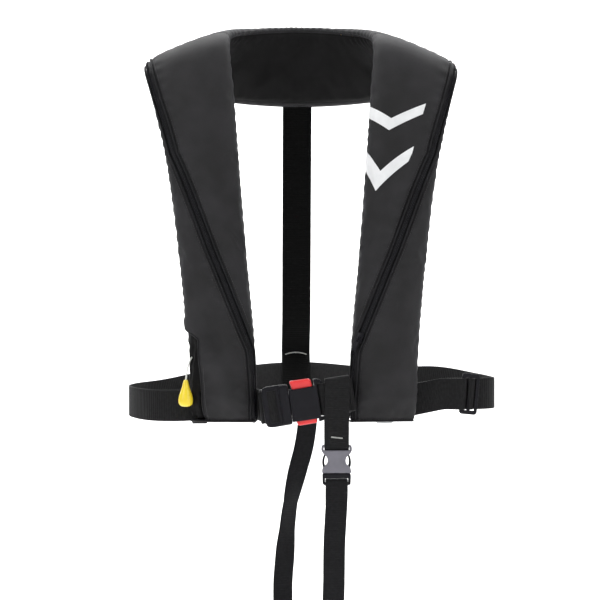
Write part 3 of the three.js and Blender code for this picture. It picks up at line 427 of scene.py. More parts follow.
# %% Grids into meshes
def finish_mesh(name, verts, faces, material, uvs=None, sharp=None):
    """Makes the object. uvs gives each vertex a (u, v) in metres, which cloth materials read."""
    mesh = bpy.data.meshes.new(name)
    mesh.from_pydata([tuple(v) for v in verts], [], [tuple(int(i) for i in f) for f in faces])
    if uvs is not None:
        layer = mesh.uv_layers.new(name="cloth")
        order = np.zeros(len(mesh.loops), dtype=np.int32)
        mesh.loops.foreach_get("vertex_index", order)
        layer.data.foreach_set("uv", np.asarray(uvs, dtype=np.float32)[order].ravel())
    work = bmesh.new()
    work.from_mesh(mesh)
    bmesh.ops.recalc_face_normals(work, faces=work.faces)
    work.to_mesh(mesh)
    work.free()
    mesh.shade_smooth()
    if sharp is not None:
        mesh.set_sharp_from_angle(angle=math.radians(sharp))
    mesh.materials.append(material)
    obj = bpy.data.objects.new(name, mesh)
    bpy.context.scene.collection.objects.link(obj)
    return obj


def grid_faces(rows, columns, start=0, wrap_rows=False, wrap_columns=False):
    """Quads of a grid whose points are numbered row by row from start."""
    i = np.arange(rows if wrap_rows else rows - 1)
    j = np.arange(columns if wrap_columns else columns - 1)
    i, j = np.meshgrid(i, j, indexing="ij")
    down, right = (i + 1) % rows, (j + 1) % columns
    corners = (i * columns + j, i * columns + right, down * columns + right, down * columns + j)
    return np.stack(corners, -1).reshape(-1, 4) + start


def shell(name, outer, inner, uv, material):
    """A sheet with a wall: two grids of the same shape, joined round their four sides."""
    rows, columns, _ = outer.shape
    count = rows * columns
    faces = [grid_faces(rows, columns), grid_faces(rows, columns, count)[:, ::-1]]
    index = np.arange(count).reshape(rows, columns)
    for line in (index[0], index[-1], index[:, 0], index[:, -1]):
        faces.append(np.stack([line[:-1], line[1:], line[1:] + count, line[:-1] + count], -1))
    verts = np.concatenate([outer.reshape(-1, 3), inner.reshape(-1, 3)])
    uvs = np.concatenate([uv.reshape(-1, 2)] * 2)
    return finish_mesh(name, verts, np.concatenate(faces), material, uvs, sharp=50)


def sweep_rings(name, rings, material, uv=None, closed=False, sharp=None):
    """A solid through rings of points, capped at both ends unless it closes on itself."""
    rows, columns, _ = rings.shape
    faces = [list(f) for f in grid_faces(rows, columns, wrap_rows=closed, wrap_columns=True)]
    if not closed:
        faces.append(list(range(columns))[::-1])
        faces.append(list(range((rows - 1) * columns, rows * columns)))
    uvs = None if uv is None else uv.reshape(-1, 2)
    return finish_mesh(name, rings.reshape(-1, 3), faces, material, uvs, sharp)


def unit(v):
    return v / np.maximum(np.linalg.norm(v, axis=-1, keepdims=True), 1e-12)


def smoothstep(x, low, high):
    t = np.clip((np.asarray(x, float) - low) / (high - low), 0, 1)
    return t * t * (3 - 2 * t)


# %% [markdown]
# A smooth line through a few chosen points is needed again and again: for the yoke's edges, and for
# straps and cords. The centripetal Catmull-Rom curve passes through every point and doesn't loop or
# overshoot.

# %% Smooth lines
def through(points, t):
    """Points on the curve at t, which counts spans: 0 is the first, len(points) - 1 the last."""
    p = np.asarray(points, float)
    p = np.concatenate([[2 * p[0] - p[1]], p, [2 * p[-1] - p[-2]]])
    t = np.clip(np.asarray(t, float), 0, len(points) - 1)
    i = np.minimum(t.astype(int), len(points) - 2)
    w = (t - i)[:, None]
    a, b, c, d = p[i], p[i + 1], p[i + 2], p[i + 3]
    pairs = ((b, a), (c, b), (d, c))
    gap = [np.maximum(np.linalg.norm(q - r, axis=1) ** 0.5, 1e-4)[:, None] for q, r in pairs]
    leave = ((b - a) / gap[0] - (c - a) / (gap[0] + gap[1]) + (c - b) / gap[1]) * gap[1]
    reach = ((c - b) / gap[1] - (d - b) / (gap[1] + gap[2]) + (d - c) / gap[2]) * gap[1]
    squared = 3 * (c - b) - 2 * leave - reach
    cubed = 2 * (b - c) + leave + reach
    return b + leave * w + squared * w**2 + cubed * w**3


def even_along(points, step):
    """The curve's parameters at even steps of length, and the length up to each."""
    t = np.linspace(0, len(points) - 1, 40 * len(points))
    p = through(points, t)
    run = np.concatenate([[0], np.cumsum(np.linalg.norm(np.diff(p, axis=0), axis=1))])
    stops = np.linspace(0, run[-1], max(2, int(round(run[-1] / step)) + 1))
    return np.interp(stops, run, t), stops


# %% [markdown]
# ## The yoke
# One padded section is carried from the left lobe's hem, up over the shoulder, round the neck and
# down to the right hem. At each station the section has a neck-side edge, an outer edge and a
# thickness, and its outline is a superellipse: fuller than an ellipse, softer than a box. Round the
# section a point is named by its distance from the outer edge, over the outward face. That pair
# (station, distance) is how every seam, zip and stitch below says where it is.

# %% Yoke stations
LOBE = 0.497
STATIONS = [
    # neck-side edge, outer edge, thickness, zip's place as a share of the outward face
    ((0.055, -0.147, -LOBE), (0.134, -0.145, -LOBE), 0.014, 0.95),
    ((0.0565, -0.148, -0.945 * LOBE), (0.137, -0.146, -0.945 * LOBE), 0.030, 0.94),
    ((0.0575, -0.149, -0.83 * LOBE), (0.139, -0.147, -0.83 * LOBE), 0.035, 0.885),
    ((0.0675, -0.148, -0.594 * LOBE), (0.1495, -0.145, -0.594 * LOBE), 0.036, 0.5),
    ((0.077, -0.141, -0.358 * LOBE), (0.1655, -0.136, -0.358 * LOBE), 0.033, 0.17),
    ((0.0825, -0.129, -0.21 * LOBE), (0.181, -0.120, -0.225 * LOBE), 0.029, 0.1),
    ((0.088, -0.106, -0.038), (0.191, -0.098, -0.071), 0.025, 0.07),
    ((0.084, -0.062, -0.018), (0.182, -0.050, -0.068), 0.025, 0.06),
    ((0.058, -0.020, -0.006), (0.130, 0.012, -0.088), 0.025, 0.06),
    ((0.0, 0.0, 0.0), (0.0, 0.034, -0.098), 0.025, 0.06),
]
LAST = 2 * (len(STATIONS) - 1)
SHOULDER = 6.5  # station where a lobe's panels are sewn to the collar's
HEM = 0.05
SECTION_POWER = 2.6
ROUND = 64  # columns of the cloth grid round the section


def both_sides(values, mirror_x=False):
    half = np.array(values, float)
    other = half[:-1][::-1].copy()
    if mirror_x:
        other[:, 0] *= -1
    return np.concatenate([half, other])


inner_edge = both_sides([s[0] for s in STATIONS], True)
outer_edge = both_sides([s[1] for s in STATIONS], True)
thickness = both_sides([s[2] for s in STATIONS])
zip_share = both_sides([s[3] for s in STATIONS])


def middle_line(k):
    return (through(inner_edge, k) + through(outer_edge, k)) / 2


def superpower(x):
    return np.sign(x) * np.abs(x) ** (2 / SECTION_POWER)


def section_rings(k):
    """Points round the section at even distances for each station k, with the section's girth."""
    k = np.asarray(k, float)
    inner, outer = through(inner_edge, k), through(outer_edge, k)
    across = unit(outer - inner)
    half = np.linalg.norm(outer - inner, axis=1)[:, None] / 2
    along = unit(middle_line(k + 0.02) - middle_line(k - 0.02))
    out = unit(np.cross(across, along))
    deep = np.interp(k, np.arange(LAST + 1), thickness)[:, None] / 2
    angle = np.linspace(0, 2 * np.pi, 385)
    a, b = half * superpower(np.cos(angle)), deep * superpower(np.sin(angle))
    chords = np.hypot(np.diff(a, axis=1), np.diff(b, axis=1))
    run = np.concatenate([np.zeros((len(k), 1)), np.cumsum(chords, axis=1)], axis=1)
    rings = np.zeros((len(k), ROUND, 3))
    for i in range(len(k)):
        stops = run[i, -1] * np.arange(ROUND) / ROUND
        aa, bb = np.interp(stops, run[i], a[i]), np.interp(stops, run[i], b[i])
        rings[i] = (inner[i] + outer[i]) / 2 + aa[:, None] * across[i] + bb[:, None] * out[i]
    return rings, run[:, -1]


fine = np.linspace(0, LAST, 1801)
fine_run = np.concatenate(
    [[0], np.cumsum(np.linalg.norm(np.diff(middle_line(fine), axis=0), axis=1))]
)


def stations_between(low, high, step):
    """Stations at even steps of length along the yoke's middle line."""
    a, b = np.interp([low, high], fine, fine_run)
    return np.interp(np.linspace(a, b, int(round((b - a) / step)) + 1), fine_run, fine)


ROW_STEP = 0.005
row_station = stations_between(0.0, LAST, ROW_STEP)
flat_rings, girth = section_rings(row_station)
print("yoke length %.3f m, girth %.3f to %.3f m" % (fine_run[-1], girth.min(), girth.max()))


def girth_at(k):
    return np.interp(k, row_station, girth)


def neck_side(k):
    return girth_at(k) / 2


def zip_line(k):
    return np.interp(k, np.arange(LAST + 1), zip_share) * neck_side(k)


# %% [markdown]
# ### Stuffing the yoke
# The folded bladder presses the cover outwards and the seams hold it back, which is what cloth
# simulation with pressure does well. The grid above is used as the cloth, so every point keeps its
# (station, distance) name. Points near the zip, the lining's seams, the hems and the shoulder seams
# are pinned. The cloth is cut slightly too big, so it wrinkles near what holds it. How far a point
# may move is capped, so the yoke keeps its size.

# %% Cloth simulation of the yoke
ZIP_HALF = 0.0055
LINING_TURN = 0.009
PRESSURE = 3.2
SPARE_CLOTH = 0.002  # how much bigger the cloth is cut than the space it covers
MOST_MOVE = 0.003
SIM_FRAMES = 20


def hold(distance, reach):
    return np.exp(-((distance / reach) ** 2))


def pin_weights():
    k = row_station[:, None]
    d = girth[:, None] * np.arange(ROUND)[None, :] / ROUND
    zips, necks = zip_line(row_station)[:, None], neck_side(row_station)[:, None]
    whole = girth[:, None]
    seams = [zips, necks + LINING_TURN, 2 * necks - LINING_TURN]
    weight = np.zeros_like(d)
    for seam in seams:
        gap = np.abs((d - seam + whole / 2) % whole - whole / 2)
        weight = np.maximum(weight, hold(gap, 0.007))
    for station in (SHOULDER, LAST - SHOULDER):
        gap = np.interp(k, fine, fine_run) - np.interp(station, fine, fine_run)
        weight = np.maximum(weight, 0.9 * hold(gap, 0.010))
    for station in (0, LAST):
        gap = np.interp(k, fine, fine_run) - np.interp(station, fine, fine_run)
        weight = np.maximum(weight, hold(gap, 0.022))
    return np.broadcast_to(weight, d.shape).ravel()


def stuffed(rings):
    """The yoke's grid after the cloth simulation."""
    rows = len(rings)
    work = sweep_rings("yoke_in_work", rings, cover_cloth)
    group = work.vertex_groups.new(name="held")
    for index, weight in enumerate(pin_weights()):
        group.add([index], float(weight), "REPLACE")
    cloth = work.modifiers.new("cloth", "CLOTH")
    settings = cloth.settings
    settings.quality = 6
    settings.mass = 0.25
    settings.tension_stiffness = settings.compression_stiffness = 12
    settings.shear_stiffness = 4
    settings.bending_stiffness = 2.0
    settings.air_damping = 2
    settings.vertex_group_mass = "held"
    settings.pin_stiffness = 1
    settings.shrink_min = -SPARE_CLOTH
    settings.use_pressure = True
    settings.uniform_pressure_force = PRESSURE
    settings.effector_weights.gravity = 0
    cloth.collision_settings.use_collision = False
    cloth.point_cache.frame_start, cloth.point_cache.frame_end = 1, SIM_FRAMES
    scene = bpy.context.scene
    for frame_number in range(1, SIM_FRAMES + 1):
        scene.frame_set(frame_number)
    result = work.evaluated_get(bpy.context.evaluated_depsgraph_get())
    moved = np.array([v.co for v in result.data.vertices]).reshape(rows, ROUND, 3)
    bpy.data.objects.remove(work, do_unlink=True)
    scene.frame_set(1)
    step = moved - rings
    length = np.linalg.norm(step, axis=2, keepdims=True)
    return rings + step * np.minimum(1, MOST_MOVE / np.maximum(length, 1e-9)), length


yoke = flat_rings
yoke, moved_by = stuffed(flat_rings)
print(
    "cloth moved up to %.1f mm, mean %.1f mm" % (1000 * moved_by.max(), 1000 * moved_by.mean())
)


# %% [markdown]
# ### Reading the yoke's surface
# Panels are finer than the simulated grid. Between its points the surface is read with a smooth
# cubic, and the outward direction comes from the differences of neighbours.

# %% Sampling the yoke
def cubic_weights(w):
    return np.stack(
        [(-(w**3) + 2 * w**2 - w) / 2, (3 * w**3 - 5 * w**2 + 2) / 2,
            (-3 * w**3 + 4 * w**2 + w) / 2, (w**3 - w**2) / 2],
        -1,
    )


def on_yoke(k, d):
    """Points of the yoke's skin at station k and distance d (arrays of one shape)."""
    k, d = np.broadcast_arrays(np.asarray(k, float), np.asarray(d, float))
    row = np.interp(k, row_station, np.arange(len(row_station)))
    column = (d / girth_at(k) % 1.0) * ROUND
    r0, c0 = np.floor(row).astype(int), np.floor(column).astype(int)
    wr, wc = cubic_weights(row - r0), cubic_weights(column - c0)
    total = np.zeros(k.shape + (3,))
    for a in range(4):
        rr = np.clip(r0 + a - 1, 0, len(row_station) - 1)
        for b in range(4):
            total += (wr[..., a] * wc[..., b])[..., None] * yoke[rr, (c0 + b - 1) % ROUND]
    return total


def yoke_frame(k, d):
    """The point, the outward direction and the direction along the yoke."""
    point = on_yoke(k, d)
    along = unit(
        on_yoke(k + 0.03, d * girth_at(k + 0.03) / girth_at(k))
        - on_yoke(k - 0.03, d * girth_at(k - 0.03) / girth_at(k))
    )
    across = unit(on_yoke(k, d + 0.002) - on_yoke(k, d - 0.002))
    out = unit(np.cross(across, along))
    return point, -out, along

# %% [markdown]
# ## Cloth panels
# The yoke is sewn from panels: one on each side of the zip, and a lining on the wearer's side. A
# panel is a patch of the stuffed yoke between two seams, with a wall. Near each seam the cloth
# turns in, and between the stitches it puckers a little. Folding and packing also leave long soft
# bands that catch the light. All of these are small lifts added to the stuffed surface, so they go
# where the seams go.

# %% Lifts of the cloth
PANEL_WALL = 0.0010
SEAM_GAP = 0.0005
rng = np.random.default_rng(31)


def waves(count, low, high):
    """A fixed set of soft waves: how many per metre along and across, phase and share."""
    return [
        (rng.uniform(low, high), rng.uniform(low, high) * rng.choice([-1, 1]),
            rng.uniform(0, 2 * np.pi), rng.uniform(0.4, 1))
        for _ in range(count)
    ]


soft_waves = waves(7, 3, 14)
fine_waves = waves(9, 18, 46)


def wave_sum(parts, a, b, stretch=1.0):
    total = sum(
        share * np.sin(2 * np.pi * (fa * a * stretch + fb * b) + phase)
        for fa, fb, phase, share in parts
    )
    return total / sum(share for *_, share in parts)


def run_at(k):
    return np.interp(k, fine, fine_run)


def seam_lift(edge, along, drop=0.0016, pucker=0.0005):
    """The cloth turns in at a seam, and puckers between its stitches."""
    turn = -drop * np.exp(-((edge / 0.0028) ** 2))
    near_seam = np.exp(-(((edge - 0.007) / 0.006) ** 2))
    ripple = pucker * np.sin(2 * np.pi * along / 0.013 + 3 * np.sin(along * 37)) * near_seam
    return turn + ripple


def cloth_lift(d, along, softness=1.0):
    bands_along = 0.0011 * wave_sum(soft_waves, along, d, 0.35)
    wrinkles = 0.00035 * wave_sum(fine_waves, along, d, 0.5)
    return softness * (bands_along + wrinkles)


# %% [markdown]
# One fold stands out: on the wearer's right lobe the inflator inside pushes the cover out, so the
# cloth breaks into a short slanting crease above it and a soft upright ridge below.

# %% The fold over the inflator
def groove(k, d, start, end, width, depth):
    """A crease between two places, each (station, distance) on the yoke."""
    a = np.array([run_at(start[0]), start[1]])
    b = np.array([run_at(end[0]), end[1]])
    p = np.stack([run_at(k), d], -1)
    t = np.clip(((p - a) @ (b - a)) / ((b - a) @ (b - a)), 0, 1)
    gap = np.linalg.norm(p - (a + t[..., None] * (b - a)), axis=-1)
    return depth * np.exp(-((gap / width) ** 2)) * np.sin(np.pi * (0.15 + 0.7 * t))


def right(k):
    """A station of the wearer's right lobe, counted up from its hem as on the left."""
    return LAST - k


def inflator_fold(k, d):
    lift = groove(k, d, (right(2.35), 0.030), (right(1.95), 0.052), 0.0085, -0.0042)
    lift += groove(k, d, (right(2.10), 0.022), (right(1.70), 0.040), 0.011, 0.0030)
    lift += groove(k, d, (right(1.85), 0.055), (right(0.45), 0.050), 0.012, 0.0028)
    lift += groove(k, d, (right(1.55), 0.034), (right(0.50), 0.030), 0.010, -0.0020)
    return lift


def left_folds(k, d):
    lift = groove(k, d, (2.6, 0.035), (1.1, 0.022), 0.014, 0.0022)
    lift += groove(k, d, (1.5, 0.050), (0.4, 0.058), 0.012, -0.0022)
    lift += groove(k, d, (3.9, 0.040), (3.1, 0.030), 0.014, -0.0020)
    return lift


# %% [markdown]
# The panel builder takes two seam lines, as distances round the section at each station, and lays a
# fine grid between them. Its rows follow real length along the yoke, and its UV map is that length
# and distance.

# %% Panels
all_panels = []


def panel(
    node, low, high, start, end, material, step=0.0028, extra=None, depth=0.0, wall=PANEL_WALL,
    softness=1.0, ends=(True, True)
):
    """A sewn cloth panel that replaces its CAD node. low and high are stations.

    start and end are functions of the station.
    """
    k = stations_between(low, high, step)
    widest = float(np.max(end(k) - start(k)))
    across = np.linspace(0, 1, max(5, int(round(widest / step)) + 1))
    kk = np.repeat(k[:, None], len(across), axis=1)
    dd = start(k)[:, None] + (end(k) - start(k))[:, None] * across[None, :]
    along = run_at(kk)
    point, out, _ = yoke_frame(kk, dd)
    edge = np.minimum(dd - dd[:, :1], dd[:, -1:] - dd)
    turned = smoothstep(edge, 0, 0.012)
    lift = cloth_lift(dd, along, softness) * turned + seam_lift(edge, along) - depth
    from_ends = np.minimum(
        along - along.min() if ends[0] else 1.0 + 0 * along,
        along.max() - along if ends[1] else 1.0 + 0 * along
    )
    lift += seam_lift(from_ends, dd, 0.0014, 0.0003)
    if extra:
        lift += extra(kk, dd)
    outer = point + out * lift[..., None]
    inner = point + out * (lift - wall)[..., None]
    piece = shell(node + "_cloth", outer, inner, np.stack([dd, along], -1), material)
    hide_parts(node)
    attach(piece, root_body)
    all_panels.append(piece)
    return piece


def past_zip(k):
    return zip_line(k) + ZIP_HALF + SEAM_GAP


def before_zip(k):
    return zip_line(k) - ZIP_HALF - SEAM_GAP


def neck_seam(k):
    return neck_side(k) + LINING_TURN


def lining_from(k):
    return neck_side(k) + LINING_TURN + SEAM_GAP


def lining_to(k):
    return 2 * neck_side(k) - LINING_TURN - SEAM_GAP


def outer_turn(k):
    return np.full_like(k, -LINING_TURN)


def pocket_mouth(k):
    """The right outboard panel stops short of the lobe's edge below the pocket's mouth."""
    mouth = 0.024 * smoothstep(k, right(2.32), right(2.12)) * (
        1 - 0.12 * smoothstep(k, right(1.2), right(0.2))
    )
    return mouth - LINING_TURN * (1 - smoothstep(k, right(2.32), right(2.12)))


# %% [markdown]
# At the pocket's mouth the cover's free edge is bound and gapes a little, because the pull cord
# comes out there. Its upper corner bulges where the cloth doubles over.

# %% Lobes and collar
def pocket_gape(k, d):
    near_edge = np.exp(-(((d - pocket_mouth(k)) / 0.007) ** 2))
    low_part = smoothstep(k, right(2.3), right(2.0)) * (1 - smoothstep(k, right(0.5), right(0.15)))
    bulge = np.exp(-(((run_at(k) - run_at(right(2.28))) / 0.010) ** 2) - ((d + 0.002) / 0.010) ** 2)
    return near_edge * low_part * (
        0.0022 + 0.0009 * np.sin(run_at(k) * 2 * np.pi / 0.048)
    ) + 0.0022 * bulge


SHOULDER_GAP = 0.02
lobes = {"left": (HEM, SHOULDER, left_folds), "right": (right(SHOULDER), right(HEM), inflator_fold)}
for word, (low, high, folds) in lobes.items():
    edge_start = outer_turn if word == "left" else pocket_mouth
    outboard_extra = folds if word == "left" else (
        lambda k, d: inflator_fold(k, d) + pocket_gape(k, d)
    )
    inboard = panel(
        f"cover_inboard_{word}", low, high, past_zip, neck_seam, cover_cloth, extra=folds
    )
    outboard = panel(
        f"cover_outboard_{word}", low, high, edge_start, before_zip, cover_cloth,
        extra=outboard_extra
    )
    backing = panel(f"lining_{word}", low, high, lining_from, lining_to, lining_cloth_painted_shade)
    print(word, "lobe:", [len(p.data.polygons) for p in (inboard, outboard, backing)], "faces")

collar_low, collar_high = SHOULDER + SHOULDER_GAP, right(SHOULDER + SHOULDER_GAP)
collar_outer = panel("collar_outer", collar_low, collar_high, past_zip, neck_seam, cover_cloth)
# Painted shade: the collar's lining takes the darkened lining colour, for the shade inside the
# collar.
collar_lining = panel(
    "collar_lining", collar_low, collar_high, lining_from, lining_to, lining_cloth_painted_shade
)
collar_gusset = panel(
    "collar_gusset", collar_low, collar_high, outer_turn, before_zip, cover_cloth, step=0.002
)

# %% [markdown]
# Behind the pocket's mouth lies a gusset of the darkened lining, set in from the surface. Its
# near-black colour is painted shade, so the mouth reads as a dark recess with a few loose folds.

# %% Pocket gusset
def gusset_folds(k, d):
    return 0.0011 * np.sin(
        2 * np.pi * (d / 0.012 + run_at(k) / 0.060)
    ) * smoothstep(d, -0.013, -0.006)


def gusset_start(k):
    return np.full_like(k, -0.013)


def gusset_end(k):
    return np.full_like(k, 0.021)


# Painted shade: the gusset's dark lining colour stands in for the shade inside the pocket's mouth.
panel(
    "pocket_gusset", right(2.24), right(0.12), gusset_start, gusset_end, lining_cloth_painted_shade, step=0.0024,
    extra=gusset_folds, depth=0.0030, wall=0.0008,
)

# %% [markdown]
# ## Hems
# The open end of each lobe is closed by a rolled hem: the cover's cloth turned under in a tube with
# a row of stitching just above it. It's built as rings of the section that shrink to a rounded end.

# %% Rolled hems
def hem_ring(k, inset, drop, count=160):
    turn = np.arange(count) / count
    kk = np.full(count, float(k))
    dd = turn * girth_at(kk)
    point, out, _ = yoke_frame(kk, dd)
    return point - out * inset + np.array([0, 0, -drop])


def rolled_hem(word, end_station, up):
    """Rings from just under the panels' edge, out over the roll, and in to the closed end."""
    edge = end_station + up * (HEM - 0.004)
    profile = [
        (edge, 0.0020, 0.0), (edge, 0.0003, 0.0), (end_station + up * 0.034, -0.0006, 0.0),
        (end_station + up * 0.022, -0.0007, 0.0), (end_station + up * 0.010, 0.0, 0.0),
        (end_station, 0.0004, 0.0004),
        (end_station, 0.0014, 0.0013), (end_station, 0.0030, 0.0019), (end_station, 0.0052, 0.0020),
    ]
    rings = np.array([hem_ring(*stop) for stop in profile])
    around = np.linspace(0, float(girth_at(end_station)), rings.shape[1])
    depth = np.cumsum([0] + [float(np.linalg.norm(b[0] - a[0])) for a, b in zip(rings, rings[1:])])
    uv = np.stack(np.meshgrid(around, depth), -1)
    piece = sweep_rings(f"hem_{word}_roll", rings, cover_cloth, uv, sharp=60)
    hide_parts(f"hem_{word}")
    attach(piece, root_body)
    return piece


rolled_hem("left", 0.0, 1)
rolled_hem("right", float(LAST), -1)

# %% [markdown]
# ## Zips, piping and stitches
# A zip runs the whole length of the yoke, between two corded pipings. Its teeth, and every row of
# stitches, are one shape repeated along a line, which is a job for Geometry Nodes: resample the
# line at the pitch, and put one instance on each point, turned to the line's direction and the
# cloth's outward direction.

# %% A Geometry Nodes tree that repeats a shape along lines
def repeater(name, shape, sides):
    """Inputs: Pitch, Size (along, across, up) and Stagger, which moves each second one sideways."""
    tree = bpy.data.node_groups.new(name, "GeometryNodeTree")
    face = tree.interface
    face.new_socket(name="Geometry", in_out="INPUT", socket_type="NodeSocketGeometry")
    face.new_socket(name="Pitch", in_out="INPUT", socket_type="NodeSocketFloat")
    face.new_socket(name="Size", in_out="INPUT", socket_type="NodeSocketVector")
    face.new_socket(name="Stagger", in_out="INPUT", socket_type="NodeSocketFloat")
    face.new_socket(name="Material", in_out="INPUT", socket_type="NodeSocketMaterial")
    face.new_socket(name="Geometry", in_out="OUTPUT", socket_type="NodeSocketGeometry")
    make, link = tree.nodes.new, tree.links.new
    given, result = make("NodeGroupInput"), make("NodeGroupOutput")
    line = make("GeometryNodeMeshToCurve")
    link(given.outputs["Geometry"], line.inputs["Mesh"])
    even = make("GeometryNodeResampleCurve")
    even.mode = "LENGTH"
    link(line.outputs["Curve"], even.inputs["Curve"])
    link(given.outputs["Pitch"], even.inputs["Length"])
    if shape == "round":
        one = make("GeometryNodeMeshUVSphere")
        one.inputs["Segments"].default_value, one.inputs["Rings"].default_value = sides, 4
        one.inputs["Radius"].default_value = 0.5
    else:
        one = make("GeometryNodeMeshCube")
        one.inputs["Size"].default_value = (1, 1, 1)
    out_way = make("GeometryNodeInputNamedAttribute")
    out_way.data_type = "FLOAT_VECTOR"
    out_way.inputs["Name"].default_value = "out_way"
    tangent = make("GeometryNodeInputTangent")
    turn_up = make("FunctionNodeAlignRotationToVector")
    turn_up.axis = "Z"
    link(out_way.outputs["Attribute"], turn_up.inputs["Vector"])
    turn_along = make("FunctionNodeAlignRotationToVector")
    turn_along.axis, turn_along.pivot_axis = "X", "Z"
    link(turn_up.outputs["Rotation"], turn_along.inputs["Rotation"])
    link(tangent.outputs["Tangent"], turn_along.inputs["Vector"])
    index = make("GeometryNodeInputIndex")
    odd, side = make("ShaderNodeMath"), make("ShaderNodeMath")
    odd.operation, side.operation = "MODULO", "MULTIPLY_ADD"
    link(index.outputs["Index"], odd.inputs[0])
    odd.inputs[1].default_value = 2
    link(odd.outputs["Value"], side.inputs[0])
    side.inputs[1].default_value, side.inputs[2].default_value = 2, -1
    sideways = make("ShaderNodeMath")
    cross, move = make("ShaderNodeVectorMath"), make("ShaderNodeVectorMath")
    sideways.operation, cross.operation, move.operation = "MULTIPLY", "CROSS_PRODUCT", "SCALE"
    link(side.outputs["Value"], sideways.inputs[0])
    link(given.outputs["Stagger"], sideways.inputs[1])
    link(tangent.outputs["Tangent"], cross.inputs[0])
    link(out_way.outputs["Attribute"], cross.inputs[1])
    link(cross.outputs["Vector"], move.inputs[0])
    link(sideways.outputs["Value"], move.inputs["Scale"])
    shifted = make("GeometryNodeSetPosition")
    link(even.outputs["Curve"], shifted.inputs["Geometry"])
    link(move.outputs["Vector"], shifted.inputs["Offset"])
    placed = make("GeometryNodeInstanceOnPoints")
    link(shifted.outputs["Geometry"], placed.inputs["Points"])
    link(one.outputs["Mesh"], placed.inputs["Instance"])
    link(turn_along.outputs["Rotation"], placed.inputs["Rotation"])
    link(given.outputs["Size"], placed.inputs["Scale"])
    real, dressed = make("GeometryNodeRealizeInstances"), make("GeometryNodeSetMaterial")
    link(placed.outputs["Instances"], real.inputs["Geometry"])
    link(real.outputs["Geometry"], dressed.inputs["Geometry"])
    link(given.outputs["Material"], dressed.inputs["Material"])
    link(dressed.outputs["Geometry"], result.inputs["Geometry"])
    return tree


stitch_tree = repeater("stitch_run", "round", 6)
tooth_tree = repeater("zip_teeth", "block", 4)


def repeat_along(
    name, lines, tree, pitch, size, material, stagger=0.0, body=root_body, smooth=True
):
    """lines is a list of (points, outward directions). One plain mesh comes back."""
    verts, edges, outs = [], [], []
    for points, ways in lines:
        first = len(verts)
        verts += [tuple(p) for p in points]
        outs += [tuple(w) for w in ways]
        edges += [(first + i, first + i + 1) for i in range(len(points) - 1)]
    mesh = bpy.data.meshes.new(name + "_line")
    mesh.from_pydata(verts, edges, [])
    mesh.attributes.new("out_way", "FLOAT_VECTOR", "POINT").data.foreach_set(
        "vector", np.array(outs, np.float32).ravel()
    )
    guide = bpy.data.objects.new(name + "_line", mesh)
    bpy.context.scene.collection.objects.link(guide)
    nodes = guide.modifiers.new("repeat", "NODES")
    nodes.node_group = tree
    socket = {
        item.name: item.identifier for item in tree.interface.items_tree if item.in_out == "INPUT"
    }
    nodes[socket["Pitch"]] = pitch
    nodes[socket["Size"]] = size
    nodes[socket["Stagger"]] = stagger
    nodes[socket["Material"]] = material
    made = bpy.data.meshes.new_from_object(
        guide.evaluated_get(bpy.context.evaluated_depsgraph_get())
    )
    bpy.data.objects.remove(guide, do_unlink=True)
    piece = bpy.data.objects.new(name, made)
    made.name = name
    if smooth:
        made.shade_smooth()
    bpy.context.scene.collection.objects.link(piece)
    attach(piece, body)
    print(name, len(made.polygons), "faces")
    return piece


# %% [markdown]
# The zip itself is a woven tape, slightly sunk, with a low ridge down its middle where the closed
# teeth bulge. The pipings are cords in a binding that stand up at both sides of it.

# %% Zip tapes
def tape_ridge(k, d):
    off = np.abs(d - zip_line(k))
    return 0.0009 * np.exp(-((off / 0.0024) ** 2)) - 0.0003


def zip_from(k):
    return zip_line(k) - ZIP_HALF


def zip_to(k):
    return zip_line(k) + ZIP_HALF


zip_spans = {
    "zip_left": (HEM, SHOULDER), "zip_collar": (collar_low, collar_high),
    "zip_right": (right(SHOULDER), right(HEM))
}
for node, (low, high) in zip_spans.items():
    panel(
        node, low, high, zip_from, zip_to, binding_cloth, step=0.0016, extra=tape_ridge,
        depth=0.0003, softness=0
    )


def seam_line(low, high, place, lift, step=0.004):
    """Points and outward directions along a line given as a distance at each station."""
    k = stations_between(low, high, step)
    point, out, _ = yoke_frame(k, place(k))
    return point + out * lift, out


def tube(name, points, radius, material, sides=8, taper=0.006):
    """A round cord along points."""
    tangent = unit(np.gradient(points, axis=0))
    helper = np.array([0.3, 0.2, 0.93])
    a = unit(np.cross(tangent, helper))
    b = np.cross(tangent, a)
    run = np.concatenate([[0], np.cumsum(np.linalg.norm(np.diff(points, axis=0), axis=1))])
    turn = np.linspace(0, 2 * np.pi, sides, endpoint=False)
    size = np.full(len(run), radius)
    if taper:
        size = radius * np.clip(np.minimum(run, run[-1] - run) / taper, 0.15, 1) ** 0.5
    rings = points[:, None] + size[:, None, None] * (
        np.cos(turn)[None, :, None] * a[:, None] + np.sin(turn)[None, :, None] * b[:, None]
    )
    uv = np.stack(np.broadcast_arrays(turn[None, :] * radius, run[:, None]), -1)
    return sweep_rings(name, rings, material, uv)


PIPING = 0.0013
for word, place in (
    ("outer", lambda k: zip_line(k) - ZIP_HALF - 0.0003),
    ("inner", lambda k: zip_line(k) + ZIP_HALF + 0.0003)
):
    line, _ = seam_line(HEM, right(HEM), place, 0.0001)
    piping = tube(f"zip_piping_{word}", line, PIPING, binding_cloth)
    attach(piping, root_body)

# %% Zip teeth
teeth_line = seam_line(HEM + 0.1, right(HEM + 0.1), zip_line, 0.0006)
zip_teeth = repeat_along(
    "zip_teeth", [teeth_line], tooth_tree, 0.0016, (0.0009, 0.0022, 0.0009), black_acetal, 0.0005,
    smooth=False
)

# %% [markdown]
# Rows of lockstitch run beside the zip's pipings, along the neck edge's lining seam, across the
# shoulders where the lobe meets the collar, and above each hem. Each stitch is a tiny flattened
# bead, 3 mm apart.

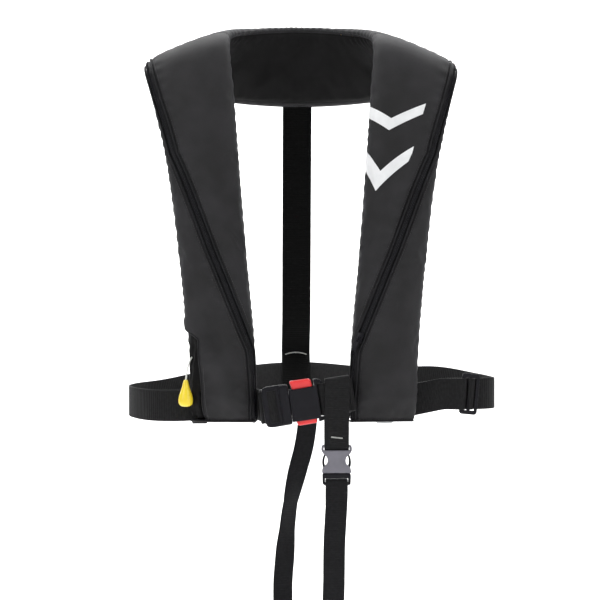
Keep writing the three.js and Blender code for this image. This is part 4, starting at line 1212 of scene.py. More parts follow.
# %% Stitch rows
def across_row(k, start, end, lift, count=60):
    kk = np.full(count, float(k))
    dd = np.linspace(float(start(np.array([k]))[0]), float(end(np.array([k]))[0]), count)
    point, out, _ = yoke_frame(kk, dd)
    return point + out * lift, out


def beside(line, offset):
    return lambda k: line(k) + offset


STITCH_LIFT = 0.0002
rows = []
for low, high in (
    (HEM + 0.05, SHOULDER - 0.05), (collar_low + 0.05, collar_high - 0.05),
    (right(SHOULDER - 0.05), right(HEM + 0.05))
):
    rows.append(seam_line(low, high, beside(past_zip, 0.0042), STITCH_LIFT))
    rows.append(seam_line(low, high, beside(before_zip, -0.0042), STITCH_LIFT))
    rows.append(seam_line(low, high, beside(neck_seam, -0.0035), STITCH_LIFT))
for k in (0.10, right(0.10)):
    rows.append(across_row(k, outer_turn if k < 1 else pocket_mouth, before_zip, STITCH_LIFT))
    rows.append(across_row(k, past_zip, neck_seam, STITCH_LIFT))
for k in (SHOULDER - 0.10, right(SHOULDER - 0.10)):
    rows.append(across_row(k, past_zip, neck_seam, STITCH_LIFT))
rows.append(seam_line(right(2.0), right(0.2), beside(pocket_mouth, 0.004), 0.0024))
cover_stitches = repeat_along(
    "cover_stitches", rows, stitch_tree, 0.0030, (0.0022, 0.0006, 0.0005), black_thread
)

# %% [markdown]
# The pocket's mouth is bound with tape, so its edge shows as a fine dark cord from the bulge down
# to the hem.

# %% Pocket binding
mouth_k = stations_between(right(2.30), right(0.10), 0.003)
mouth_point, mouth_out, _ = yoke_frame(mouth_k, pocket_mouth(mouth_k))
mouth_reach = pocket_mouth(mouth_k)
mouth_lift = inflator_fold(mouth_k, mouth_reach) + pocket_gape(mouth_k, mouth_reach) - 0.0014
pocket_binding = tube(
    "pocket_binding", mouth_point + mouth_out * mouth_lift[:, None], 0.0011, binding_cloth
)
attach(pocket_binding, root_body)

# %% [markdown]
# ## Reflective marks
# Two plain chevrons of reflective tape are pressed on the left lobe, for being found in the water.
# They follow the stuffed cloth, a fraction of a millimetre above it, with cut edges.

# %% Chevrons
MARK_WIDTH, MARK_SLANT = 0.2, 0.3


def chevron(word, base):
    u = np.linspace(0, 1, 41)[None, :]
    v = np.linspace(0, 1, 9)[:, None]
    k = base + MARK_SLANT * np.abs(2 * u - 1) + MARK_WIDTH * v
    d = (zip_line(k) + 0.026) * (1 - u) + (neck_side(k) + 0.005) * u
    point, out, _ = yoke_frame(k, d)
    along = run_at(k)
    lift = cloth_lift(d, along) * smoothstep(neck_seam(k) - d, 0, 0.012)
    lift = lift + left_folds(k, d) + 0.0003
    outer = point + out * (lift + 0.0003)[..., None]
    inner = point + out * (lift - 0.0002)[..., None]
    piece = shell(f"reflector_{word}_tape", outer, inner, np.stack([d, along], -1), reflective_tape)
    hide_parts(f"reflector_{word}")
    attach(piece, root_body)


chevron("upper", 4.35)
chevron("lower", 3.6)

# %% [markdown]
# ## Webbing
# Every strap is the same thing: flat woven webbing carried along a path, with its width direction
# given at each stop. The weave's cross ribs are real geometry, because they catch the light and
# notch the edge. The path is a smooth line through the stops, cut into even steps, five to a rib.

# %% The strap builder
MM = 0.001
UP = np.array([0.0, 0.0, 1.0])
RIB_STEPS = 5


def strap_section(width, thick, edge=0.9 * MM, points=9):
    """Half-rounded flat section, as points (across, out)."""
    half, deep = width / 2, thick / 2
    flat = np.linspace(half - edge, -half + edge, points)
    top = [(a, deep) for a in flat]
    left = [(-half + edge * 0.3, deep * 0.75), (-half, 0.0), (-half + edge * 0.3, -deep * 0.75)]
    bottom = [(a, -deep) for a in flat[::-1]]
    right_side = [(half - edge * 0.3, -deep * 0.75), (half, 0.0), (half - edge * 0.3, deep * 0.75)]
    return np.array(top + left + bottom + right_side)


def strap(name, stops, width, thick, material, rib=0.0031, closed=False, ripple=0.00016):
    """A ribbed solid with a UV map in metres. stops are (point in millimetres, width direction)."""
    points = np.array([s[0] for s in stops], float) * MM
    wides = np.array([s[1] for s in stops], float)
    if closed:
        points = np.concatenate([points[-2:], points, points[:3]])
        wides = np.concatenate([wides[-2:], wides, wides[:3]])
    t, run = even_along(points, rib / RIB_STEPS)
    if closed:
        inside = (t >= 2) & (t < len(points) - 3)
        t, run = t[inside], run[inside]
    centre = through(points, t)
    ahead, behind = through(points, t + 0.01), through(points, t - 0.01)
    along = unit(ahead - behind)
    wide = np.stack([np.interp(t, np.arange(len(points)), wides[:, i]) for i in range(3)], -1)
    wide = unit(wide - along * np.sum(wide * along, 1, keepdims=True))
    out = np.cross(along, wide)
    section = strap_section(width, thick)
    wave = np.cos(2 * np.pi * run / rib)
    rise = ripple * wave[:, None] * np.sign(section[:, 1])[None, :] * (
        np.abs(section[:, 1]) > thick * 0.45
    )
    notch = -0.00012 * wave[:, None] * np.sign(section[:, 0])[None, :] * (
        np.abs(section[:, 0]) > width * 0.45
    )
    rings = (
        centre[:, None]
        + wide[:, None] * (section[None, :, 0] + notch)[..., None]
        + out[:, None] * (section[None, :, 1] + rise)[..., None]
    )
    uv = np.stack(np.broadcast_arrays(section[None, :, 0], run[:, None]), -1)
    piece = sweep_rings(name, rings, material, uv, closed=closed, sharp=60)
    print(name, "%.0f mm long," % (1000 * (run[-1] - run[0])), len(piece.data.polygons), "faces")
    return piece


BELT_WIDTH, BELT_THICK = 38 * MM, 1.6 * MM
CROTCH_WIDTH, CROTCH_THICK = 26 * MM, 1.5 * MM

# %% [markdown]
# ### The waist belt
# The belt leaves the ring behind the left lobe, bends round the wearer's left side, crosses the
# back where the back strap's loop lifts it, and comes forward on the right. At the back it leans
# with the wearer's waist. Each stop repeats the CAD path, in millimetres.

# %% Waist belt
HEM_Z = -497.0
BELT_Z = HEM_Z + 19
BACK_Z = BELT_Z + 26
FRONT_Y = -126.0
BACK_Y = 80.0
RING_Y = FRONT_Y + 0.6
LEAN = np.array([0.0, math.sin(math.radians(28)), math.cos(math.radians(28))])
BEND_X, BEND_Y, BEND_Z, BEND_R = 208.0, FRONT_Y + 30, BELT_Z + 12, 30.0


def lean_at(y):
    share = float(smoothstep(y, 0, BACK_Y))
    return UP * (1 - share) + LEAN * share


def belt_height(share):
    return BELT_Z + (BACK_Z - BELT_Z) * share


belt_stops = [
    ((112.5, RING_Y - 4.2, BELT_Z + 2), UP), ((107, RING_Y - 3.8, BELT_Z + 2), UP),
    ((104.6, RING_Y - 2, BELT_Z + 2), UP),
    ((104.6, RING_Y + 1.6, BELT_Z + 2), UP), ((107, RING_Y + 3.4, BELT_Z + 2), UP),
    ((114, RING_Y + 3.2, BELT_Z + 2.4), UP),
    ((130, FRONT_Y + 1, BELT_Z + 4), UP), ((150, FRONT_Y, BELT_Z + 8), UP),
    ((175, FRONT_Y, BEND_Z), UP),
]
for angle in np.radians(np.arange(0, 95.1, 19)):
    belt_stops.append(
        ((BEND_X + BEND_R * math.sin(angle), BEND_Y - BEND_R * math.cos(angle), BEND_Z), UP)
    )
for x, y, z in [
    (224, -20, BEND_Z + 2), (178, 42, BEND_Z + 8), (110, 72, belt_height(0.7)), (0, BACK_Y, BACK_Z),
    (-106, 70, belt_height(0.6)), (-171, 34, belt_height(0.15)), (-209, -18, BELT_Z + 1),
    (-212, -62, BELT_Z),
    (-185, -108, BELT_Z - 2), (-147, FRONT_Y, BELT_Z - 1.5), (-98, FRONT_Y, BELT_Z + 1.5),
]:
    belt_stops.append(((x, y, z), lean_at(y)))
waist_belt = strap("waist_belt_webbing", belt_stops, BELT_WIDTH, BELT_THICK, webbing_cloth)
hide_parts("waist_belt")
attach(waist_belt, root_body)

# %% [markdown]
# ### Webbing at the main buckle
# The buckle hangs a little crooked between the lobes, so stops on it are given in its own axes and
# turned. On the wearer's right the webbing climbs over the plug's outer bar, under its middle bar
# and up again. On the left it goes through the socket's slot and back, and runs behind the lobe to
# the ring.

# %% Buckle webbing
TILT = math.radians(8.5)
BUCKLE_X = np.array([math.cos(TILT), 0, math.sin(TILT)])
BUCKLE_Z = np.array([-math.sin(TILT), 0, math.cos(TILT)])
BUCKLE_AT = np.array([-11.5, -178.0, HEM_Z + 23])
HALF_BUCKLE = 37.0
RUNG_A, RUNG_B = -HALF_BUCKLE + 7.2, -HALF_BUCKLE + 16.2
RUNG_BAR = (RUNG_A + RUNG_B) / 2
OVER = 4.3


def on_buckle(x, y, z=0.0):
    return BUCKLE_AT + BUCKLE_X * x + np.array([0, y, 0]) + BUCKLE_Z * z


def buckle_stop(x, y):
    return on_buckle(x, y), BUCKLE_Z


def upright(x, y, z):
    return (x, y, z), UP


right_stops = [
    upright(-112, FRONT_Y + 2.3, BELT_Z + 1.5), upright(-90, FRONT_Y + 2.2, BELT_Z + 1),
    upright(-68, FRONT_Y + 1, BELT_Z + 0.5),
    upright(-56, -133, BELT_Z), upright(-51.6, -147, BELT_Z), upright(-50.5, -160, BELT_Z),
    buckle_stop(-40, 7.5), buckle_stop(-36, 5.6), buckle_stop(RUNG_A - 2.2, OVER + 0.6),
    buckle_stop(RUNG_A - 0.2, 2.8),
    buckle_stop(RUNG_A - 0.2, -2.6), buckle_stop(RUNG_BAR - 2, -OVER - 0.3),
    buckle_stop(RUNG_BAR + 2, -OVER - 0.3),
    buckle_stop(RUNG_B + 0.2, -2.6), buckle_stop(RUNG_B + 0.2, 2.8),
    buckle_stop(RUNG_B - 1.6, OVER + 0.7),
    buckle_stop(RUNG_B - 4.2, OVER + 1.1),
]
belt_front_right = strap(
    "belt_front_right_webbing", right_stops, BELT_WIDTH, BELT_THICK, webbing_cloth
)
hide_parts("belt_front_right")
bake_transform(belt_front_right)


def easing(x, y, rise, share):
    return (x, y, BELT_Z + rise), UP * (1 - share) + BUCKLE_Z * share


left_stops = [
    buckle_stop(49, -OVER), buckle_stop(33.6, -OVER - 0.2), buckle_stop(30.7, -2.8),
    buckle_stop(30.7, 2.8),
    buckle_stop(33.6, OVER + 0.2), buckle_stop(49, OVER), buckle_stop(68, OVER),
    easing(58.6, -170, 13.8, 1),
    easing(58, -164.5, 13, 0.9), easing(55, -156.5, 11, 0.7), easing(52.6, -147, 8.5, 0.5),
    easing(54.5, -135, 5.5, 0.3),
    easing(66, RING_Y - 2.2, 2, 0.1), upright(84, RING_Y - 2.8, BELT_Z),
    upright(91.5, RING_Y - 3, BELT_Z),
    upright(94.8, RING_Y - 2, BELT_Z), upright(94.8, RING_Y + 1.6, BELT_Z),
    upright(91.5, RING_Y + 3, BELT_Z),
    upright(76, RING_Y + 2.8, BELT_Z),
]
belt_front_left = strap(
    "belt_front_left_webbing", left_stops, BELT_WIDTH, BELT_THICK, webbing_cloth
)
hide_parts("belt_front_left")
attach(belt_front_left, root_body)

# %% [markdown]
# ### The adjuster's return, the loops and the back strap
# The belt's free end comes back over its first run into the adjuster. Two short loops on the lobes'
# backs carry the belt, and the back strap hangs from the collar and makes a sewn loop for it.

# %% Return, loops and back strap
ADJUSTER = np.array([203.0, FRONT_Y - 0.8 - 1.0 - 1.6 - 1.3, BEND_Z])


def adjuster_stop(x, y):
    """The slide lies askew, so its stops lean with it."""
    return (ADJUSTER[0] + x, ADJUSTER[1] + y, BEND_Z), np.array(
        [math.sin(math.radians(5.5)), 0, math.cos(math.radians(5.5))]
    )


return_stops = [
    upright(115.5, RING_Y - 4.3, BELT_Z + 2), upright(130, FRONT_Y - 3, BELT_Z + 4),
    upright(150, FRONT_Y - 3.2, BELT_Z + 8),
    upright(172, FRONT_Y - 4, BEND_Z), adjuster_stop(-14, -2.8), adjuster_stop(-8, -3.1),
    adjuster_stop(-4.8, -1.5),
    adjuster_stop(-3.9, 1.6), adjuster_stop(-1.5, 2.6), adjuster_stop(1.5, 2.6),
    adjuster_stop(3.9, 1.6),
    adjuster_stop(4.4, -1.3), adjuster_stop(1.8, -2.9), adjuster_stop(-1.5, -2.9),
]
belt_return = strap("belt_return_webbing", return_stops, BELT_WIDTH, BELT_THICK, webbing_cloth)
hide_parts("belt_return")
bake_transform(belt_return)

for word, side, rise in (("left", 1, 4), ("right", -1, 0.8)):
    middle = BELT_Z + rise
    path = [(-130, 26), (-122, 23), (-119.6, 19), (-119.6, -21), (-123, -22.8), (-134.5, -23)]
    stops = [((side * 124.0, y, middle + z), np.array([1.0, 0, 0])) for y, z in path]
    loop = strap(
        f"belt_loop_{word}_webbing", stops, 18 * MM, 1.4 * MM, webbing_cloth, rib=0.0020,
        ripple=0.0001
    )
    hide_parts(f"belt_loop_{word}")
    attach(loop, root_body)

ACROSS = np.array([1.0, 0, 0])
BACK_OUT = np.array([0, math.cos(math.radians(28)), -math.sin(math.radians(28))])


def on_back(lift, out, x=0.0):
    return np.array([x, BACK_Y, BACK_Z]) + LEAN * lift + BACK_OUT * out


back_stops = [
    ((0, y, z), ACROSS) for y, z in [(37, -84), (45, -130), (54, -200), (66, -300), (76, -380)]
]
for lift, out in [
    (37, -3.4), (20, -2.1), (-20, -2.1), (-22.5, -1.3), (-22.5, 1.3), (-20, 2.1), (20, 2.1),
    (36, 0.6), (43, -0.6)
]:
    back_stops.append((on_back(lift, out), ACROSS))
# Painted shade: the back strap uses the darkened webbing, for the shadow it lies in.
back_strap = strap("back_strap_webbing", back_stops, BELT_WIDTH, BELT_THICK, back_webbing_painted_shade)
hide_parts("back_strap")
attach(back_strap, root_body)

# %% [markdown]
# ### The crotch strap
# A loop sewn round the belt's webbing hangs the small buckle. The strap goes through the buckle's
# plug, down in front, between the legs, and up behind to a tack on the belt at the back, turning a
# little on its way. In the CAD it is two strands; here it is one strap, so nothing shows where they
# meet.

# %% Crotch loop and strap
CROTCH_AT = np.array([38.5, -178.0, HEM_Z - 46])
CX, CY, CZ = CROTCH_AT
SLUNG = BUCKLE_X
LOOP_HALF = OVER + 0.8 + 0.5 + 0.75


def hang(y, z):
    return (CX, y, z), ACROSS


def slung(y, z):
    return (CX, y, z), SLUNG


loop_stops = [
    slung(CY - LOOP_HALF, BELT_Z + 31.8), hang(CY - LOOP_HALF, CZ + 43), hang(CY - 4.7, CZ + 24),
    hang(CY - 4.2, CZ + 18),
    hang(CY - 2.2, CZ + 14.8), hang(CY + 2.2, CZ + 14.8), hang(CY + 4.2, CZ + 18),
    hang(CY + 4.7, CZ + 24),
    hang(CY + LOOP_HALF, CZ + 43), slung(CY + LOOP_HALF, BELT_Z + 31.8), slung(CY + 5, BELT_Z + 34),
    slung(CY - 5, BELT_Z + 34),
]
crotch_loop = strap(
    "crotch_loop_webbing", loop_stops, 29 * MM, CROTCH_THICK, webbing_cloth, rib=0.0026, closed=True
)
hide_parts("crotch_loop")
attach(crotch_loop, root_body)

LAPPED = 4.5 + 0.5 + 0.75
REAR_TOP = on_back(-21, 6.4)


def turned(x, y, z):
    share = float(smoothstep(z, CZ - 157, CZ - 97)) * (
        1 - float(smoothstep(z, CZ - 97, CZ - 17))
    ) if y > 0 else 0.0
    twist = math.radians(45) * share
    return (x, y, z), np.array([math.cos(twist), math.sin(twist), 0])


crotch_stops = [
    hang(CY + LAPPED, CZ - 52), hang(CY + LAPPED, CZ - 25.5), hang(CY + LAPPED + 0.3, CZ - 23.4),
    hang(CY + 4.2, CZ - 21.3),
    hang(CY - 4.2, CZ - 21.3), hang(CY - LAPPED - 0.3, CZ - 23.4), hang(CY - LAPPED, CZ - 25.5),
]
crotch_stops += [
    turned(*p)
    for p in [
        (CX, CY - LAPPED + 0.4, CZ - 40), (CX - 2.5, CY + 1, CZ - 97), (CX - 3, -170, CZ - 157),
        (33, -154, CZ - 227),
        (28, -126, CZ - 285), (21, -90, CZ - 317), (14.5, -50, CZ - 328), (4, -5, CZ - 317),
        (-10, 40, CZ - 275),
        (-17, 66, CZ - 227), (-18, 76, CZ - 192), (-15.4, 79, CZ - 155), (-12.2, 80, CZ - 117),
        (-7.4, 81, CZ - 80),
        (1, 81, CZ - 42), (10.5, 80, CZ - 5), (15, 78, CZ + 28), (16, REAR_TOP[1], REAR_TOP[2] - 6),
    ]
]
crotch_stops += [(on_back(lift, 4.3, 16), ACROSS) for lift in (-15, 0, 18)]
crotch_strap = strap(
    "crotch_strap_webbing", crotch_stops, CROTCH_WIDTH, CROTCH_THICK, crotch_cloth, rib=0.0022,
    ripple=0.00012
)
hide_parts("crotch_strap_front", "crotch_strap_rear")
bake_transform(crotch_strap)

# %% [markdown]
# ### Bar tacks
# Straps that are sewn to themselves carry dense zigzag tacks. The grey ones show against the black:
# a short one across the crotch loop and an arched one across the back strap. Each is a bundle of
# stitches laid side by side.

# %% Bar tacks
def tack(name, nodes, centre, wide, way_up, out, width, height, arch, material, pitch=0.0007):
    """Upright beads side by side, along a straight or arched line."""
    u = np.linspace(-0.5, 0.5, 40)
    line = np.array(centre) * MM + np.outer(u * width, wide) + np.outer(
        -arch * (2 * u) ** 2, way_up
    )
    across = np.broadcast_to(out, line.shape)
    piece = repeat_along(
        name, [(line, across)], stitch_tree, pitch, (0.0009, height, 0.0007), material
    )
    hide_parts(*nodes)
    return piece


tack(
    "back_tack_stitches", ["back_strap_tack"], on_back(31, -4.6), ACROSS, LEAN, -BACK_OUT, 0.028,
    0.0020, 0.003, grey_thread
)
tack(
    "crotch_tack_stitches", ["crotch_loop_tack"], (CX, CY - 6.2, CZ + 29),
    BUCKLE_X * [1, 1, -0.7] / np.linalg.norm(BUCKLE_X * [1, 1, -0.7]),
     UP, np.array([0, -1.0, 0]), 0.013, 0.0021, 0.0, grey_thread)

# %% [markdown]
# ## Pull cord and toggle
# A white braided cord comes out of the pocket's mouth and drops to a yellow teardrop toggle, which
# the wearer jerks to fire the inflator. The cord runs from the lever to the toggle.

# %% Pull cord
EYE_AT = np.array([-99 - 22.2 - 3.6, -148.0, HEM_Z + 60 + 20])
TOGGLE_TOP = np.array([-140.0, -155.0, HEM_Z + 50])
cord_stops = np.array([
    EYE_AT, (-131.5, -151, EYE_AT[2] - 2), (-136, -154, EYE_AT[2] - 10),
    (-138.4, -155, EYE_AT[2] - 20),
    TOGGLE_TOP + [0, 0, -1.6],
]) * MM
CORD = 0.0020
cord_t, cord_run = even_along(cord_stops, 0.0008)
cord_line = through(cord_stops, cord_t)
plaits = 1 + 0.10 * np.cos(2 * np.pi * cord_run / 0.0024)[:, None] * np.cos(
    np.linspace(0, 2 * np.pi, 12, endpoint=False) * 3
)[None]


def cord_rings(points, radius, shape):
    tangent = unit(np.gradient(points, axis=0))
    a = unit(np.cross(tangent, [0.1, 1.0, 0.05]))
    b = np.cross(tangent, a)
    turn = np.linspace(0, 2 * np.pi, shape.shape[1], endpoint=False)
    return points[:, None] + radius * shape[..., None] * (
        np.cos(turn)[None, :, None] * a[:, None] + np.sin(turn)[None, :, None] * b[:, None]
    )


pull_cord = sweep_rings("pull_cord_braid", cord_rings(cord_line, CORD / 2, plaits), white_cord)
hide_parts("pull_cord")
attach(pull_cord, "toggle")


# %% Toggle
def turned_solid(name, profile, centre, material, sides=48, smooth_steps=5):
    """A lathed solid about the vertical. profile is (radius, height) from end to end, in metres."""
    line = np.array([(r, 0.0, z) for r, z in profile])
    t = np.linspace(0, len(line) - 1, smooth_steps * (len(line) - 1) + 1)
    shape = through(line, t)[:, [0, 2]]
    shape[:, 0] = np.maximum(shape[:, 0], 0.00002)
    turn = np.linspace(0, 2 * np.pi, sides, endpoint=False)
    rings = np.stack(
        np.broadcast_arrays(
            shape[:, :1] * np.cos(turn), shape[:, :1] * np.sin(turn),
            shape[:, 1:] + 0 * turn[None, :]
        ),
        -1,
    ) + np.array(centre)
    return sweep_rings(name, rings, material)


toggle_profile = [
    (0.0009, 0.0), (0.0022, -0.0003), (0.0027, -0.0014), (0.0032, -0.0034), (0.0046, -0.0090),
    (0.0062, -0.0140),
    (0.0076, -0.0180), (0.0085, -0.0222), (0.0087, -0.0252), (0.0080, -0.0286), (0.0060, -0.0309),
    (0.0033, -0.0318),
    (0.0012, -0.0319),
]
toggle = turned_solid("pull_toggle_moulded", toggle_profile, TOGGLE_TOP * MM, yellow_acetal)
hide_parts("pull_toggle")
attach(toggle, "toggle")

# %% [markdown]
# ## Moulded buckles
# Injection-moulded parts have no sharp corners, and their broad faces are slightly crowned. Each
# starts as a plate whose rim is rounded and whose faces swell a little. Slots and windows are then
# cut with Booleans, and a small Bevel softens every cut edge. The modifiers are applied, and the
# result is one closed mesh.

# %% Plates, cuts and bevels
def rounded_outline(corners, count=96):
    """A closed outline through corners (x, z, radius) as count points, in millimetres."""
    line = []
    pts = np.array([c[:2] for c in corners], float)
    for i, (*_, r) in enumerate(corners):
        corner = pts[i]
        back, ahead = unit(pts[i - 1] - corner), unit(pts[(i + 1) % len(pts)] - corner)
        a, b = corner + back * r, corner + ahead * r
        for w in np.linspace(0, 1, 7):
            line.append((1 - w) ** 2 * a + 2 * w * (1 - w) * corner + w**2 * b)
    line = np.array(line + line[:1])
    run = np.concatenate([[0], np.cumsum(np.linalg.norm(np.diff(line, axis=0), axis=1))])
    stops = np.linspace(0, run[-1], count, endpoint=False)
    return np.stack([np.interp(stops, run, line[:, i]) for i in (0, 1)], -1)


def plate(outline, thick, fillet=1.2, crown=0.5, y=0.0):
    """Rings from the back's middle over the rim to the front's, as (rings, points, 3) in mm."""
    middle = outline.mean(axis=0)
    reach = np.linalg.norm(outline - middle, axis=1).mean()
    half = thick / 2
    side = []
    for angle in np.linspace(0, math.pi / 2, 5):
        side.append((fillet * (1 - math.cos(angle)), half - fillet + fillet * math.sin(angle)))
    for share in (0.3, 0.5, 0.7, 0.9, 0.999):
        side.append((fillet + (reach - fillet) * share, half + crown * (1 - (1 - share) ** 2)))
    rings = []
    for front in (1, -1):
        part = [
            np.column_stack([
                middle[0] + (outline[:, 0] - middle[0]) * (1 - inset / reach),
                np.full(len(outline), y + front * depth),
                middle[1] + (outline[:, 1] - middle[1]) * (1 - inset / reach),
            ])
            for inset, depth in side
        ]
        rings += part[::-1] if front > 0 else part
    return np.array(rings)


def placed(rings, origin, x_way=(1, 0, 0), z_way=(0, 0, 1)):
    """From a piece's own millimetres to metres in the frame."""
    return (
        np.array(origin) + rings[..., :1] * np.array(x_way) + rings[..., 1:2] * [0, 1, 0]
        + rings[..., 2:] * np.array(z_way)
    ) * MM


def block(size, centre, origin, x_way=(1, 0, 0), z_way=(0, 0, 1)):
    """A box for cutting: a helper object that is removed after the cut."""
    w, d, h = (s / 2 for s in size)
    x, y, z = centre
    ring = lambda yy: [
        (x - w, yy, z - h), (x + w, yy, z - h), (x + w, yy, z + h), (x - w, yy, z + h)
    ]
    rings = np.array([ring(y - d), ring(y + d)])
    return sweep_rings("cutter", placed(rings, origin, x_way, z_way), black_acetal)


def carved(piece, cuts=(), joins=(), bevel=0.35):
    """Applies the Booleans and the bevel, and leaves one plain closed mesh."""
    for kind, tools in (("UNION", joins), ("DIFFERENCE", cuts)):
        for tool in tools:
            step = piece.modifiers.new("carve", "BOOLEAN")
            step.operation, step.object, step.solver = kind, tool, "EXACT"
    if bevel:
        soft = piece.modifiers.new("soften", "BEVEL")
        soft.width, soft.segments, soft.limit_method = bevel * MM, 2, "ANGLE"
        soft.angle_limit = math.radians(40)
        soft.use_clamp_overlap = True
    made = bpy.data.meshes.new_from_object(
        piece.evaluated_get(bpy.context.evaluated_depsgraph_get())
    )
    piece.modifiers.clear()
    piece.data = made
    for tool in list(cuts) + list(joins):
        bpy.data.objects.remove(tool, do_unlink=True)
    made.shade_smooth()
    made.set_sharp_from_angle(angle=math.radians(38))
    print(piece.name, len(made.polygons), "faces")
    return piece


def on_body(piece, body, *nodes):
    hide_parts(*nodes)
    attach(piece, body)
    return piece


# %% [markdown]
# ### The main buckle
# A side-squeeze buckle: the plug's tongue goes into the socket, and two red buttons, one at the top
# and one at the bottom, let it go. The socket's front and back skins reach over the buttons' inner
# edges, so the buttons slide in under them. The plug ends in a ladder of two slots for the webbing.

# %% Main socket
AXES = (BUCKLE_X, BUCKLE_Z)


def on_main(rings):
    return placed(rings, BUCKLE_AT, *AXES)


def main_block(size, centre):
    return block(size, centre, BUCKLE_AT, *AXES)


MOUTH = -5.0  # where the socket opens, along the buckle
PLUG_END = MOUTH - 0.15
SLOT_HEIGHT = 39.6
SOCKET_THICK, LADDER_THICK, SHOULDER_THICK, BUTTON_THICK = 14.4, 6.2, 12.4, 10.0
BUTTON_EDGE = 16.0  # the buttons' inner edges, from the buckle's middle line
socket_outline = rounded_outline([
    (MOUTH, -24, 4), (22, -26, 8), (37, -24, 8), (37, 24, 8), (22, 26, 8), (MOUTH, 24, 4),
], 140)
main_socket = sweep_rings(
    "main_socket_moulded", on_main(plate(socket_outline, SOCKET_THICK, 2.6, 0.35)), black_acetal
)
socket_cuts = [
    main_block((20, 10, 80), (38.6, 7.6, 0)), main_block((20, 10, 80), (38.6, -7.6, 0)),
    main_block((3.0, 30, SLOT_HEIGHT), (30.9, 0, 0)), main_block((60, 7.8, 22.8), (MOUTH, 0, 0)),
]
for side in (1, -1):
    rim = 26.8 if side > 0 else 31.2
    socket_cuts.append(main_block((41, 10.8, 20), (5.5, 0, side * 23.4)))
    socket_cuts.append(main_block((41, 30, 20), (5.5, 0, side * rim)))
carved(main_socket, socket_cuts, bevel=0.7)
on_body(main_socket, "jacket", "main_socket")

# %% Main plug
ladder_outline = rounded_outline([
    (-37, -20, 5), (-33, -24.4, 5), (PLUG_END, -24, 2.5), (PLUG_END, 24, 2.5), (-33, 24.4, 5),
    (-37, 20, 5),
], 140)
main_plug = sweep_rings(
    "main_plug_moulded", on_main(plate(ladder_outline, LADDER_THICK, 1.6, 0.2)), black_acetal
)
collar_part = rounded_outline([
    (-16.2, -23.4, 3), (PLUG_END, -23.4, 2), (PLUG_END, 23.4, 2), (-16.2, 23.4, 3)
])
shoulder_part = sweep_rings(
    "shoulder_part", on_main(plate(collar_part, SHOULDER_THICK, 1.8, 0.3)), black_acetal
)
tongue_part = main_block((30, 6.8, 21.8), (8.0, 0, 0))
plug_cuts = [main_block((5.2, 24, SLOT_HEIGHT), (x, 0, 0)) for x in (RUNG_A, RUNG_B)]
carved(main_plug, plug_cuts, [shoulder_part, tongue_part], bevel=0.5)
on_body(main_plug, "main_plug", "main_plug")

# %% Release buttons
for word, side in (("upper", 1), ("lower", -1)):
    lean = 1.6 * side
    rim = 26.8 if side > 0 else 26.4
    shape = rounded_outline([
        (-1.2 + lean * 0.5, side * BUTTON_EDGE, 2), (24.2 + lean * 0.3, side * BUTTON_EDGE, 2),
        (23.4 - lean * 0.6, side * (rim - 0.2), 2.8), (-1.0 - lean, side * (rim + 0.2), 2.8),
    ][:: side])
    button = sweep_rings(
        f"release_button_{word}_moulded", on_main(plate(shape, BUTTON_THICK, 2.2, 0.35)), red_acetal
    )
    grips = [main_block((0.9, 20, 1.4), (x, 0, side * (rim + 0.8))) for x in (5, 8.5, 12, 15.5, 19)]
    carved(button, grips, bevel=0.18)
    on_body(button, f"button_{word}", f"release_button_{word}")

# %% [markdown]
# ### The crotch buckle
# A small side-release buckle in mid grey. Its socket has two ears at the top for the webbing's bar,
# a narrow waist, and windows at both sides where the plug's springy prongs show. The plug's base is
# black.

# %% Crotch socket
def on_small(rings):
    return placed(rings, CROTCH_AT)


def small_block(size, centre):
    return block(size, centre, CROTCH_AT)


def mirrored(half):
    """Both sides of an outline whose right half is given from top to bottom."""
    return list(half) + [(-x, z, r) for x, z, r in reversed(half)]


waist = mirrored([
    (17.6, 20.0, 2.6), (18.4, 13.4, 2.4), (15.4, 9.2, 1.6), (11.8, 6.4, 2.4), (10.2, 1.6, 2.6),
    (11.6, -3.0, 2.4), (16.4, -6.2, 2.2),
    (17.6, -13.0, 1.4),
])
crotch_socket = sweep_rings(
    "crotch_socket_moulded", on_small(plate(rounded_outline(waist, 200), 10.6, 1.7, 0.3)),
    grey_acetal
)
small_cuts = [
    small_block((30.8, 30, 3.2), (0, 0, 15.4)), small_block((50, 8, 12), (0, 7.2, 19.2)),
    small_block((50, 8, 12), (0, -7.2, 19.2)),
    small_block((27.4, 6.6, 9), (0, 0, -12.6)),
]
carved(crotch_socket, small_cuts, bevel=0.4)
on_body(crotch_socket, "jacket", "crotch_socket")

# %% Crotch plug and prongs
base_shape = rounded_outline(
    [(-17, -13.4, 2.4), (17, -13.4, 2.4), (16.6, -27.4, 3), (-16.6, -27.4, 3)][::-1], 120
)
crotch_plug = sweep_rings(
    "crotch_plug_moulded", on_small(plate(base_shape, 8.8, 1.6, 0.2)), black_acetal
)
stem = small_block((5, 5, 17), (0, 0, -6.5))
plug_cuts = [
    small_block((27.5, 20, 4.6), (0, 0, -21.5)), small_block((26.8, 6, 7), (0, -5.9, -24.2))
]
carved(crotch_plug, plug_cuts, [stem], bevel=0.4)
on_body(crotch_plug, "crotch_plug", "crotch_plug")

